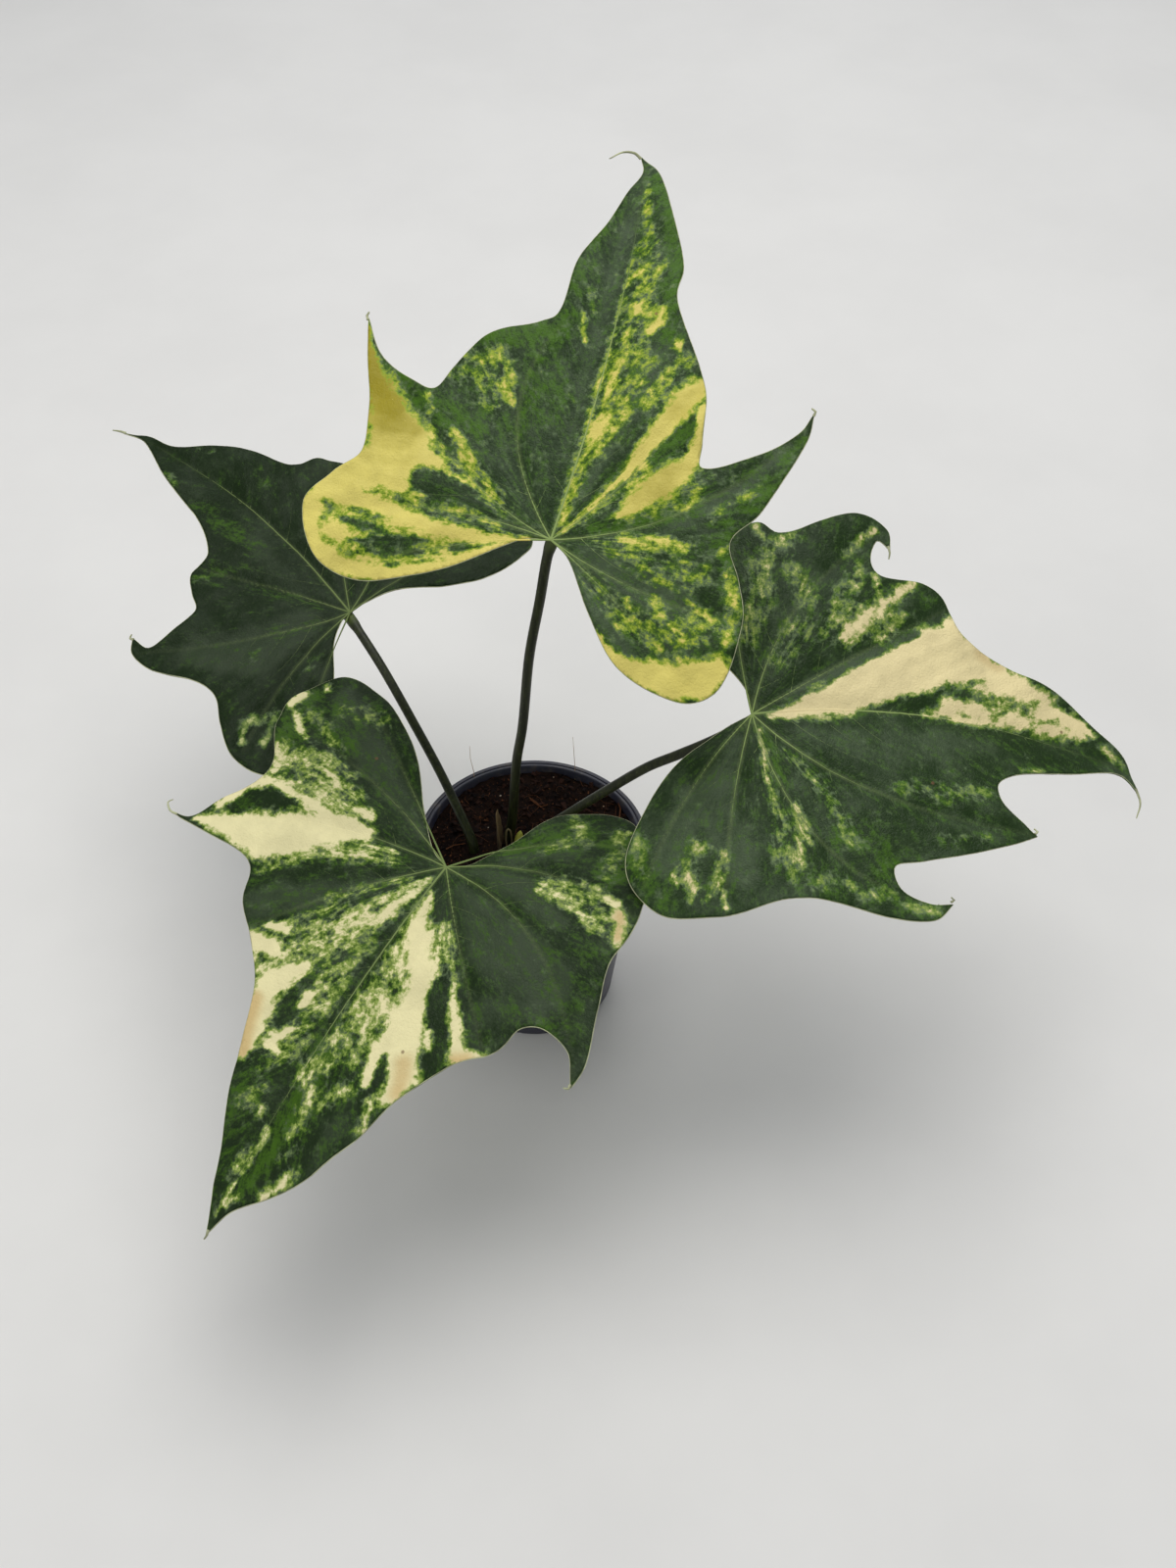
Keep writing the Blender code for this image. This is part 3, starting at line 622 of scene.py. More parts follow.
# One small aerial root, smooth and light brown, leaves the soil beside the sheath and
# loops back down into it.
ROOT_LOOP = [(-13.2, 1.0, 104, 0.5), (-13.6, 1.6, 111, 0.5), (-13.2, 2.0, 116, 0.5),
             (-12.7, 2.2, 117.4, 0.45), (-12.1, 2.2, 118, 0.45), (-11.5, 2.3, 117.4, 0.45),
             (-11.0, 2.3, 116, 0.45), (-10.6, 2.4, 111, 0.45), (-10.5, 2.5, 104, 0.45)]
add_mesh_piece("aerial_root", tube_mesh("aerial_root", [ROOT_LOOP], 4),
               [risen_finish("root_skin", SHOOT_BASE, STEM_PALE, 100.0, 113.0, 0.6, 600.0)])


# Each leaf is one thin leathery blade, like an ivy leaf with two back lobes, folded at
# its veins. It is dark green splashed with cream or yellow, duller below, and grows with
# a hard pale margin that runs on into curled threads at its sharp tips.

# A leaf's plan has points (across, along) from the notch, where its stalk joins it. The
# first of its veins is the midrib, and each vein is a bend and an end.
LEAVES = {
    "leaf_top": {
        "notch": (12.3, 0.0, 311.8),
        "heading": 14.0,
        "pitch": 34.0,
        "roll": 0.0,
        "droop": 600.0,
        "back_droop": 200.0,
        "side_droop": 600.0,
        "fold": 0.12,
        "wave_start": 0.6,
        "margin": [
            [(-13, -2), (-31, -14), (-55, -26), (-83, -33), (-103, -26), (-114, -3),
             (-104, 14), (-93, 26), (-96, 48), (-105, 80), (-109, 94)],
            [(-97, 75), (-78, 64), (-68, 62), (-62, 74), (-51, 91), (-28, 103), (-20, 110),
             (-17, 139), (-8, 159), (-3, 176), (1, 190), (-2, 199)],
            [(9, 190), (22, 164), (32, 139), (33, 121), (50, 89), (56, 74), (58, 54), (60, 43),
             (79, 50), (99, 66), (104, 76)],
            [(103, 62), (90, 28), (79, 11), (86, -6), (91, -24), (86, -54), (69, -62),
             (41, -52), (24, -31), (10, -8), (0, 0)],
        ],
        "veins": [((14, 120), (1, 196)), ((-45, 53), (-18, 103)), ((-54, 17), (-108, 92)),
                  ((-55, 12), (-110, -6)), ((-40, -6), (-88, -28)), ((38, 36), (54, 84)),
                  ((68, 12), (103, 73)), ((38, -20), (89, -25)), ((32, -20), (72, -54))],
    },
    "leaf_right": {
        "notch": (105.0, -30.0, 233.3),
        "heading": 89.4,
        "pitch": -3.0,
        "roll": -22.0,
        "droop": 600.0,
        "back_droop": 250.0,
        "side_droop": 500.0,
        "fold": 0.14,
        "wave_start": -1.0,
        "margin": [
            [(-13, -3), (-32, -18), (-63, -24), (-90, -12), (-98, 4), (-93, 14), (-99, 35),
             (-104, 52), (-98, 67), (-87, 68)],
            [(-92, 62), (-81, 58), (-73, 63), (-72, 84), (-65, 94), (-48, 102), (-35, 126),
             (-24, 153), (-8, 174), (3, 186), (20, 190)],
            [(12, 183), (14, 166), (20, 132), (27, 116), (38, 116), (47, 126), (53, 132)],
            [(59, 119), (67, 92), (70, 76), (73, 63), (84, 65), (91, 78), (91, 88)],
            [(99, 79), (98, 60), (92, 36), (91, 14), (98, -10), (99, -38), (86, -54), (71, -58),
             (48, -49), (28, -36), (9, -14), (0, 0)],
        ],
        "veins": [((-14, 95), (10, 187)), ((-26, 40), (-60, 95)), ((-60, 12), (-96, 64)),
                  ((-40, -9), (-86, -8)), ((48, 46), (52, 129)), ((79, 17), (93, 84)),
                  ((45, -13), (97, -14)), ((35, -32), (84, -50))],
    },
    "leaf_front": {
        "notch": (-37.0, -80.0, 183.4),
        "heading": -143.5,
        "pitch": -12.0,
        "roll": 0.0,
        "droop": 450.0,
        "back_droop": 250.0,
        "side_droop": 450.0,
        "fold": 0.14,
        "wave_start": 2.0,
        "margin": [
            [(-10, -8), (-18, -24), (-29, -51), (-47, -64), (-64, -64), (-85, -44), (-93, -20),
             (-95, 2), (-102, 21), (-112, 45), (-113, 57)],
            [(-102, 44), (-88, 42), (-79, 48), (-76, 62), (-62, 80), (-53, 101), (-47, 125),
             (-34, 156), (-15, 180), (-9, 192)],
            [(-4, 180), (2, 170), (18, 140), (29, 116), (40, 94), (54, 79), (73, 64), (82, 48),
             (95, 44), (116, 45), (139, 43)],
            [(128, 40), (118, 24), (107, 4), (122, -20), (126, -39), (115, -60), (97, -63),
             (73, -55), (49, -40), (27, -18), (11, -4), (0, 0)],
        ],
        "veins": [((-3, 95), (-9, 190)), ((-35, 35), (-74, 67)), ((-68, -3), (-112, 54)),
                  ((-40, -29), (-90, -24)), ((-25, -36), (-70, -54)), ((30, 30), (62, 72)),
                  ((60, 5), (134, 43)), ((50, -21), (120, -26)), ((45, -28), (95, -58))],
    },
    "leaf_back": {
        "notch": (-95.7, 95.0, 185.8),
        "heading": -44.1,
        "pitch": 12.0,
        "roll": 8.0,
        "droop": 700.0,
        "back_droop": 250.0,
        "side_droop": 600.0,
        "fold": 0.12,
        "wave_start": 1.2,
        "margin": [
            [(-6, -1), (-19, -10), (-33, -27), (-48, -43), (-66, -53), (-84, -56), (-97, -48),
             (-101, -31), (-94, -13), (-85, 4), (-88, 20), (-99, 40), (-100, 54), (-94, 62)],
            [(-92, 51), (-78, 50), (-60, 53), (-54, 64), (-47, 74), (-32, 79), (-21, 104),
             (-17, 135), (-9, 163), (-7, 176), (-12, 185)],
            [(-4, 175), (1, 156), (19, 139), (30, 121), (36, 99), (42, 93), (53, 90), (62, 76),
             (78, 72), (103, 66)],
            [(89, 54), (80, 42), (86, 28), (98, 16), (108, -8), (104, -27), (94, -34), (74, -33),
             (48, -23), (25, -5), (8, 0), (0, 0)],
        ],
        "veins": [((12, 90), (-8, 178)), ((-18, 38), (-42, 75)), ((-45, 10), (-97, 52)),
                  ((-45, -5), (-95, -32)), ((-30, -17), (-75, -50)), ((22, 36), (56, 86)),
                  ((50, 18), (100, 64)), ((52, 2), (98, -28))],
    },
}
# How each blade is painted, as strokes of (strength, points), where a point is (across,
# along, half width). "pale" strokes splash it with cream, about 0.5 being loose flecks,
# and negative ones put green back; "lush" ones make its green fresh, "grey_sheen" ones make
# it greyish as a painted sheen, and "tan_and_shade" ones turn its cream to straw, partly a
# real tan and partly painted shade. "flecked" is how pale the blade is where nothing is
# painted.
PAINT = {
    "leaf_top": {
        "flecked": 0.15,
        "pale": [
            (0.3, [(20, -14, 4), (36, -28, 7)]),
            (1.0, [(-109, 93, 0.6), (-103, 75, 2), (-95, 60, 5), (-88, 50, 8), (-82, 40, 11), (-77, 31, 15)]),
            (1.0, [(-77, 31, 14), (-64, 27, 6), (-52, 22, 2), (-44, 19, 1)]),
            (1.0, [(-80, 24, 12), (-92, 14, 10), (-104, 6, 8)]),
            (1.0, [(-80, 20, 11), (-74, 13, 6)]),
            (1.0, [(-108, 2, 5), (-110, -8, 5), (-106, -20, 5), (-96, -27, 5), (-80, -29, 4)]),
            (1.0, [(-80, -29, 4), (-60, -27, 4), (-40, -19, 4), (-25, -10, 3), (-10, -2, 1.5)]),
            (0.95, [(-100, 3, 5), (-80, 3, 5), (-62, -2, 5), (-48, -5, 4), (-30, -5, 2.5), (-12, -1.5, 1)]),
            (0.6, [(-80, 9, 3), (-60, 7, 4), (-42, 5, 4), (-25, 4, 3)]),
            (0.88, [(-96, -10, 9), (-80, -13, 12), (-62, -13, 10), (-46, -12, 5)]),
            (-0.8, [(-61, 18, 4.5), (-53, 15, 5), (-44, 12, 3.5), (-34, 9, 2), (-22, 4, 1)]),
            (-0.3, [(-88, 9, 1.5), (-74, 6, 2), (-62, 5, 3)]),
            (-0.35, [(-60, 6, 2.5), (-54, 4, 3), (-44, 3, 2), (-32, 1, 1.5)]),
            (-0.45, [(-96, -7, 1.5), (-84, -10, 4), (-70, -14, 5), (-56, -13, 3), (-38, -10, 1)]),
            (-0.75, [(-94, -7, 1), (-84, -9, 1.6), (-75, -9, 1)]),
            (-0.8, [(-90, -17, 0.8), (-78, -15.5, 1.8), (-64, -13, 2), (-56, -11, 1)]),
            (-0.75, [(-87, -21, 0.8), (-72, -19, 1.6), (-56, -16, 1)]),
            (-0.6, [(-90, -2, 0.6), (-80, -4, 0.6)]),
            (-0.5, [(-73, -23.5, 0.6), (-66, -22.5, 0.8)]),
            (-0.4, [(-50, -14.5, 0.8), (-34, -9, 0.5)]),
            (-0.2, [(-106, 0, 4), (-99, -4, 5)]),
            (1.0, [(-102, 62, 3), (-97, 44, 3), (-95, 32, 3)]),
            (0.52, [(1, 3, 1.2), (4, 40, 2), (7, 90, 2), (8, 150, 1)]),
            (0.45, [(-88, 56, 3), (-72, 44, 4), (-58, 33, 4), (-40, 20, 4), (-22, 9, 3)]),
            (0.6, [(-70, 58, 2), (-67, 51, 2)]),
            (0.56, [(-54, 42, 3), (-47, 33, 4), (-38, 24, 3), (-30, 16, 2)]),
            (0.5, [(-96, 76, 1), (-86, 60, 2), (-76, 50, 2), (-66, 42, 1.5)]),
            (0.36, [(-58, 72, 6), (-45, 80, 9)]),
            (0.6, [(-56, 81, 3), (-50, 79, 2)]),
            (0.64, [(-38, 79, 2), (-36, 72, 3.5), (-33, 62, 2.5)]),
            (0.4, [(-46, 70, 6), (-40, 58, 5)]),
            (0.6, [(-9, 108, 1.5), (-7, 103, 2), (-5, 96, 1.5)]),
            (0.35, [(-7, 122, 3), (-4, 112, 3)]),
            (0.55, [(3, 8, 2), (5, 25, 3), (7, 40, 4)]),
            (0.8, [(8, 47, 3), (11, 54, 5), (14, 61, 4)]),
            (0.52, [(12, 45, 5), (18, 62, 6), (18, 78, 6)]),
            (0.68, [(11, 66, 2), (12, 80, 3), (14, 92, 3), (15, 98, 2)]),
            (0.42, [(14, 60, 6), (17, 90, 8), (18, 115, 8), (16, 135, 7), (14, 150, 5)]),
            (0.42, [(14, 150, 5), (9, 168, 3), (6, 182, 2)]),
            (0.7, [(15, 112, 2), (17, 118, 1.5)]),
            (0.9, [(24, 104, 2), (27, 110, 2.5), (28, 116, 1.5)]),
            (0.6, [(10, 132, 2), (16, 137, 3)]),
            (0.55, [(20, 128, 2), (22, 140, 2)]),
            (0.6, [(7, 170, 1), (6, 180, 1)]),
            (0.85, [(38, 99, 2), (39, 96, 1.5)]),
            (0.5, [(30, 68, 4), (35, 80, 4), (44, 92, 4)]),
            (0.45, [(22, 74, 4), (27, 88, 4)]),
            (1.0, [(22, 28, 1), (30, 40, 2.5), (37, 54, 4), (45, 68, 6), (50, 77, 6), (54, 83, 2)]),
            (0.85, [(22, 28, 1.5), (12, 14, 1), (4, 4, 0.8)]),
            (0.9, [(57, 56, 2), (55, 46, 4), (50, 38, 7), (42, 30, 7), (34, 22, 5), (28, 15, 2)]),
            (0.6, [(36, 40, 3), (30, 30, 3), (44, 20, 3)]),
            (-1.0, [(54, 64, 1.5), (47, 54, 2.5), (39, 44, 2)]),
            (1.0, [(55, 70, 1.5), (57, 60, 2), (59, 47, 2)]),
            (0.45, [(63, 39, 3), (58, 25, 3), (48, 22, 3)]),
            (0.45, [(12, 12, 3), (24, 26, 4)]),
            (0.3, [(70, 20, 4), (85, 38, 4)]),
            (0.72, [(45, 7, 2), (52, 6, 3), (61, 5, 2)]),
            (0.6, [(32, 5, 3), (45, 3, 4)]),
            (0.36, [(20, 3, 3), (35, -2, 5), (50, -8, 7), (66, -6, 9)]),
            (0.9, [(76, 6, 1.5), (78, 8, 1)]),
            (0.62, [(80, -2, 2), (84, -12, 3), (87, -22, 3), (85, -33, 3)]),
            (0.66, [(50, -19, 1.5), (56, -26, 2.5)]),
            (0.65, [(39, -22, 1.2), (44, -29, 1.5)]),
            (0.6, [(60, -30, 2), (72, -36, 2.5)]),
            (0.55, [(66, -19, 2), (78, -25, 2)]),
            (0.4, [(40, -30, 7), (56, -34, 9), (74, -28, 9)]),
            (1.0, [(30, -40, 1), (36, -46, 2), (45, -51, 4), (55, -53, 6), (66, -54, 8)]),
            (1.0, [(66, -54, 8), (78, -51, 9), (85, -46, 5)]),
        ],
        "lush": [
            (1.0, [(-48, 91, 4), (-32, 97, 6), (-20, 98, 6), (-15, 108, 3)]),
            (0.6, [(-15, 120, 3), (-11, 150, 3), (-6, 164, 2)]),
            (1.0, [(34, 104, 3), (31, 130, 4), (27, 150, 4), (20, 166, 3), (8, 186, 4)]),
            (0.75, [(-97, 72, 3), (-76, 56, 6), (-60, 50, 7), (-46, 48, 6)]),
            (0.5, [(-24, 82, 7), (-14, 62, 9), (-28, 50, 6)]),
            (0.9, [(14, 16, 2), (24, 30, 4), (40, 46, 5), (52, 62, 3)]),
            (1.0, [(18, 7, 2), (38, 15, 3), (58, 24, 4)]),
            (0.9, [(84, 28, 4), (94, 45, 3), (101, 63, 2)]),
            (0.8, [(76, 18, 4), (79, 0, 3), (86, -14, 4), (87, -32, 4)]),
        ],
        "tan_and_shade": [(1.0, [(-109, 93, 4), (-102, 72, 8), (-95, 60, 8)]),
                   (0.92, [(-94, 54, 10), (-84, 50, 8)]),
                   (0.78, [(-94, 46, 10), (-82, 43, 9), (-72, 40, 6)]),
                   (0.6, [(-94, 38, 10), (-78, 35, 10)]),
                   (0.42, [(-94, 30, 10), (-76, 28, 10)]),
                   (0.28, [(-94, 20, 10), (-78, 18, 10)]),
                   (0.6, [(45, 68, 8), (56, 82, 5)]), (0.5, [(50, 36, 12), (30, 18, 6)])],
        "grey_sheen": [
            (0.6, [(-2, 40, 3), (-1, 80, 4), (0, 130, 4), (2, 172, 2)]),
            (0.45, [(-6, 14, 3), (-14, 45, 9), (-16, 78, 10)]),
            (0.5, [(-20, 22, 4), (-34, 38, 7), (-44, 52, 6)]),
            (0.8, [(10, 22, 3), (19, 58, 5), (27, 88, 7), (34, 99, 4)]),
            (0.6, [(21, 122, 4), (19, 150, 4)]),
            (0.8, [(14, -3, 3), (36, -12, 8), (62, -20, 9), (66, -40, 6)]),
            (1.0, [(12, -10, 2), (28, -30, 3), (42, -44, 4)]),
            (0.7, [(50, 12, 4), (75, 30, 5), (96, 58, 3)]),
        ],
    },
    "leaf_right": {
        "flecked": 0.12,
        "pale": [
            (1.0, [(1, 8, 1), (-2, 20, 3.5), (-7, 34, 7), (-14, 48, 10), (-22, 62, 11), (-30, 76, 13)]),
            (1.0, [(-30, 76, 13), (-36, 90, 14), (-35, 102, 12), (-30, 112, 11), (-24, 124, 10)]),
            (0.95, [(-24, 124, 10), (-20, 136, 8), (-15, 148, 7), (-12, 160, 5), (-8, 168, 2)]),
            (1.0, [(-52, 97, 4), (-40, 98, 6)]),
            (0.85, [(-12, 95, 4), (-10, 110, 4), (-9, 125, 4), (-7, 140, 4), (-7, 158, 4)]),
            (-0.8, [(-3, 50, 0.8), (-6, 62, 1.5), (-9, 73, 1.7), (-13, 84, 1)]),
            (-0.3, [(-16, 92, 2.5), (-19, 104, 2.5), (-20, 114, 2.5), (-18, 126, 2.5), (-16, 138, 2)]),
            (0.95, [(-13, 62, 3), (-18, 76, 3), (-22, 92, 2)]),
            (0.85, [(-6, 164, 2), (-7, 150, 3), (-7, 130, 2.5), (-6, 112, 2.5), (-5, 96, 1.5)]),
            (-0.9, [(-46, 80, 1.5), (-34, 58, 2), (-23, 38, 2), (-15, 20, 1)]),
            (-0.5, [(-27, 114, 1), (-23, 104, 1.2)]),
            (-0.35, [(-20, 156, 2), (-19, 138, 1.5)]),
            (-0.4, [(-11, 123, 1.5), (-8, 116, 1.2)]),
            (-0.3, [(-22, 150, 1.5), (-16, 166, 2.5)]),
            (0.85, [(-16, 146, 3), (-12, 160, 2.5)]),
            (0.8, [(-6, 100, 3), (-8, 92, 3), (-5, 82, 1.5)]),
            (-0.45, [(-8, 136, 1.5), (-11, 150, 1.5)]),
            (0.8, [(-57, 63, 4), (-48, 53, 5.5), (-40, 45, 4)]),
            (0.85, [(-71, 79, 2), (-66, 72, 3), (-60, 64, 3)]),
            (0.7, [(-73, 60, 1.5), (-64, 62, 2)]),
            (0.55, [(-52, 71, 4), (-43, 62, 4)]),
            (-0.8, [(-66, 68, 1.5), (-64, 64, 1.5)]),
            (0.42, [(-42, 38, 6), (-60, 46, 6), (-76, 51, 4)]),
            (0.5, [(-83, 46, 2.5), (-91, 53, 2)]),
            (0.75, [(-97, 61, 1), (-92, 54, 1)]),
            (0.46, [(-93, 24, 3), (-86, 10, 5), (-72, 5, 6)]),
            (0.42, [(-74, 20, 5), (-58, 27, 6)]),
            (0.65, [(-93, 23, 2), (-90, 15, 2)]),
            (0.65, [(-95, 3, 2), (-90, 6, 2)]),
            (0.42, [(-62, 5, 7), (-38, -1, 5)]),
            (0.34, [(-42, 22, 8), (-28, 12, 6)]),
            (0.65, [(8, 3, 1.2), (20, 5, 1.5), (35, 6, 1.5)]),
            (0.62, [(40, 8, 1.5), (50, 9, 2)]),
            (0.6, [(45, 18, 2), (55, 20, 3), (62, 23, 3)]),
            (0.68, [(64, 19, 2), (75, 20, 2)]),
            (0.42, [(52, 12, 4), (68, 13, 6), (80, 15, 4)]),
            (0.36, [(82, 24, 4), (85, 44, 5), (88, 62, 4)]),
            (0.32, [(34, 68, 4), (36, 90, 5), (33, 107, 5)]),
            (0.26, [(57, 106, 3), (60, 84, 3)]),
            (0.36, [(20, 14, 3), (30, 26, 3), (62, 44, 5)]),
            (0.45, [(19, 128, 1.5), (17, 140, 1.5)]),
            (0.5, [(92, 68, 2), (95, 82, 2)]),
            (0.5, [(70, -15, 3), (86, -18, 3)]),
            (0.76, [(87, -15, 1.5), (95, -14, 1)]),
            (0.72, [(90, -21, 1), (94, -24, 1)]),
            (0.72, [(79, -31, 1.5), (86, -27, 2), (91, -29, 2)]),
            (0.7, [(80, -37, 1), (84, -36, 1)]),
            (0.42, [(66, -25, 5), (82, -34, 5)]),
            (0.32, [(58, -54, 4), (76, -50, 5)]),
            (0.6, [(-1, 174, 2), (6, 184, 2)]),
        ],
        "lush": [
            (0.8, [(60, 40, 5), (64, 56, 5), (76, 60, 4), (86, 50, 5)]),
            (0.7, [(92, -40, 5), (80, -50, 5), (64, -55, 4)]),
            (0.9, [(10, 6, 2), (20, 10, 2), (36, 13, 2)]),
            (0.6, [(88, 60, 4), (96, 76, 4)]),
            (0.7, [(15, 140, 3), (20, 128, 3)]),
            (0.5, [(82, 20, 6), (84, 36, 6)]),
        ],
        "tan_and_shade": [(0.7, [(-40, 112, 4), (-36, 120, 5)])],
        "grey_sheen": [
            (0.6, [(8, 22, 3), (14, 50, 9), (12, 88, 10), (10, 112, 6)]),
            (1.0, [(-46, 80, 2), (-32, 56, 3), (-20, 34, 3), (-12, 18, 1)]),
            (0.6, [(-20, 8, 4), (-48, 14, 7), (-70, 30, 6)]),
            (0.8, [(14, -8, 3), (44, -20, 10), (78, -6, 8)]),
            (0.8, [(44, -28, 8), (74, -40, 8)]),
            (0.6, [(56, 112, 4), (50, 92, 6)]),
            (0.6, [(35, 20, 5), (60, 35, 6)]),
        ],
    },
    "leaf_front": {
        "flecked": 0.12,
        "pale": [
            (0.45, [(-5, 24, 3), (-11, 60, 7), (-13, 100, 8), (-11, 116, 6)]),
            (0.42, [(10, 14, 1.5), (24, 28, 3), (36, 42, 4)]),
            (0.45, [(8, 26, 3), (14, 54, 8), (8, 84, 8), (6, 104, 5)]),
            (1.0, [(126, 41, 1.5), (112, 38, 5), (98, 34, 9), (85, 32, 12), (72, 24, 11)]),
            (1.0, [(72, 24, 11), (60, 15, 9), (50, 9, 6), (42, 6, 3)]),
            (0.95, [(119, 30, 2), (112, 14, 2.5), (102, 8, 3)]),
            (0.63, [(106, 6, 3), (90, 5, 4), (70, 3, 5), (52, 1, 4)]),
            (0.92, [(108, 8, 2), (92, 8, 2), (76, 8, 2.5), (60, 8, 2.5)]),
            (-0.85, [(110, 29, 1), (104, 21, 2.5), (98, 16, 2.5), (90, 13, 1)]),
            (0.57, [(60, -5, 5), (80, -7, 6), (100, -8, 6)]),
            (0.9, [(46, -2, 2.5), (55, -1, 2.5)]),
            (0.7, [(74, -10, 1.5), (88, -9, 1.5)]),
            (0.5, [(70, -14, 4), (95, -16, 4)]),
            (0.6, [(104, 4, 4), (110, -10, 4)]),
            (0.85, [(104, -20, 1.5), (112, -25, 1.5), (119, -30, 2)]),
            (1.0, [(124, -32, 2.5), (124, -42, 2)]),
            (0.8, [(116, -50, 1.5), (118, -52, 1.5)]),
            (0.34, [(98, -44, 6), (78, -50, 6)]),
            (0.34, [(84, -22, 5), (110, -34, 5)]),
            (0.5, [(22, 11, 3), (35, 15, 4), (46, 21, 4), (60, 31, 3), (76, 46, 3)]),
            (0.7, [(32, 13, 2), (39, 18, 1.5)]),
            (0.7, [(24, 7, 1.5), (40, 11, 2)]),
            (1.0, [(57, 76, 3), (51, 77, 5), (43, 75, 4)]),
            (0.95, [(44, 65, 2.5), (53, 67, 2)]),
            (0.7, [(48, 84, 2), (38, 88, 4), (36, 76, 4)]),
            (1.0, [(24, 123, 2), (27, 114, 6), (30, 105, 6), (33, 96, 6), (34, 90, 7)]),
            (1.0, [(34, 90, 7), (29, 82, 5), (24, 74, 3)]),
            (1.0, [(10, 113, 2), (17, 111, 3)]),
            (0.95, [(16, 108, 3), (12, 101, 2)]),
            (0.85, [(15, 91, 1.5), (14, 84, 2)]),
            (0.58, [(34, 72, 7), (22, 62, 7), (13, 52, 6)]),
            (0.42, [(6, 52, 5), (10, 68, 6), (9, 84, 5)]),
            (0.4, [(30, 46, 6), (44, 58, 4)]),
            (0.6, [(42, 62, 5), (28, 54, 5), (15, 40, 5)]),
            (0.78, [(2, 9, 1), (5, 24, 3), (9, 38, 4), (18, 47, 3)]),
            (0.62, [(4, 12, 1.5), (12, 27, 3), (20, 42, 3)]),
            (0.34, [(8, 128, 5), (12, 140, 4), (0, 138, 4)]),
            (0.85, [(0, 139, 1.5), (1, 136, 1.5)]),
            (0.45, [(14, 120, 5), (4, 106, 5), (5, 92, 5)]),
            (0.6, [(-5, 117, 1.5), (-5, 106, 2)]),
            (1.0, [(-48, 105, 3), (-48, 97, 6), (-46, 90, 7), (-38, 82, 9), (-34, 72, 9), (-30, 62, 6)]),
            (1.0, [(-35, 104, 2), (-33, 96, 3), (-30, 88, 4)]),
            (0.88, [(-30, 60, 7), (-26, 50, 7), (-18, 42, 8), (-10, 34, 7), (-6, 26, 4), (-3, 14, 1.5)]),
            (0.66, [(-14, 56, 6), (-8, 45, 5)]),
            (0.62, [(-16, 66, 5), (-20, 78, 5)]),
            (0.6, [(-20, 28, 4), (-28, 40, 4)]),
            (-0.9, [(-43, 106, 1.5), (-39, 98, 1.5), (-35, 90, 1)]),
            (-0.9, [(-57, 86, 2), (-52, 79, 2.5), (-49, 75, 1)]),
            (1.0, [(-73, 68, 2), (-64, 73, 4), (-57, 67, 3), (-50, 58, 2.5), (-43, 49, 1)]),
            (0.5, [(-42, 47, 2), (-32, 36, 2.5), (-20, 24, 2)]),
            (-0.85, [(-55, 71, 1.5), (-46, 65, 3.5), (-39, 57, 3), (-35, 50, 1.5)]),
            (0.9, [(-49, 76, 1.5), (-45, 71, 1.5)]),
            (0.55, [(-47, 122, 3), (-44, 112, 3), (-42, 106, 3)]),
            (0.85, [(-45, 112, 1.5), (-41, 110, 1.5)]),
            (0.5, [(-19, 140, 2.5), (-17, 128, 4), (-16, 118, 4)]),
            (0.75, [(-17, 124, 2), (-15, 118, 2)]),
            (0.42, [(-24, 122, 4), (-30, 110, 4)]),
            (0.5, [(-24, 100, 3), (-22, 88, 4), (-12, 72, 4)]),
            (0.65, [(-24, 169, 2.5), (-28, 158, 3), (-31, 151, 2)]),
            (0.7, [(-14, 173, 2), (-12, 178, 1.5)]),
            (0.58, [(-9, 184, 0.8), (-9, 165, 1.2), (-8, 150, 1.5)]),
            (0.75, [(-8, 152, 1), (-7, 142, 1.8)]),
            (0.45, [(-5, 168, 2), (-4, 156, 3)]),
            (0.3, [(-22, 152, 4), (-24, 136, 4)]),
            (0.88, [(-91, -9, 2), (-88, -17, 3), (-80, -24, 2.5), (-72, -26, 1.5)]),
            (0.64, [(-80, -7, 1.5), (-74, -10, 2), (-65, -13, 2)]),
            (0.6, [(-66, -12, 3), (-55, -15, 4), (-45, -17, 3)]),
            (0.6, [(-47, -11, 2), (-46, -18, 2)]),
            (0.48, [(-82, -11, 5), (-70, -20, 5), (-54, -21, 4)]),
            (0.8, [(-70, -27, 1), (-60, -26, 1)]),
            (0.4, [(-68, -35, 4), (-65, -45, 5), (-60, -57, 5)]),
            (0.7, [(-64, -60, 1.5), (-58, -60, 1)]),
            (0.34, [(-34, -30, 3), (-46, -45, 6), (-35, -55, 5)]),
        ],
        "lush": [
            (1.0, [(-15, 166, 3), (-15, 150, 3), (-13, 128, 4), (-12, 110, 5), (-9, 92, 5)]),
            (0.6, [(8, 150, 6), (14, 132, 6)]),
            (0.8, [(20, 10, 3), (40, 15, 3)]),
            (0.9, [(-20, -22, 3), (-30, -33, 4), (-45, -48, 6)]),
            (1.0, [(-70, -35, 5), (-62, -50, 6)]),
            (0.3, [(-90, 40, 5), (-92, 10, 5), (-84, -4, 4)]),
            (0.9, [(112, -6, 6), (117, -44, 4)]),
            (0.5, [(84, -30, 8), (104, -40, 8)]),
        ],
        "tan_and_shade": [(0.9, [(-68, 73, 4), (-60, 78, 3)]), (0.8, [(-51, 100, 4), (-45, 88, 5)]),
                   (1.0, [(25, 121, 4), (32, 110, 5), (36, 99, 4)]), (0.8, [(-90, -12, 3), (-84, -22, 3)])],
        "grey_sheen": [
            (1.0, [(-14, 7, 4), (-44, 20, 13), (-74, 24, 14)]),
            (0.8, [(-62, 50, 8), (-78, 38, 8)]),
            (1.0, [(-14, -5, 3), (-40, -8, 6), (-64, -3, 4)]),
            (0.8, [(-22, -18, 3), (-44, -36, 6)]),
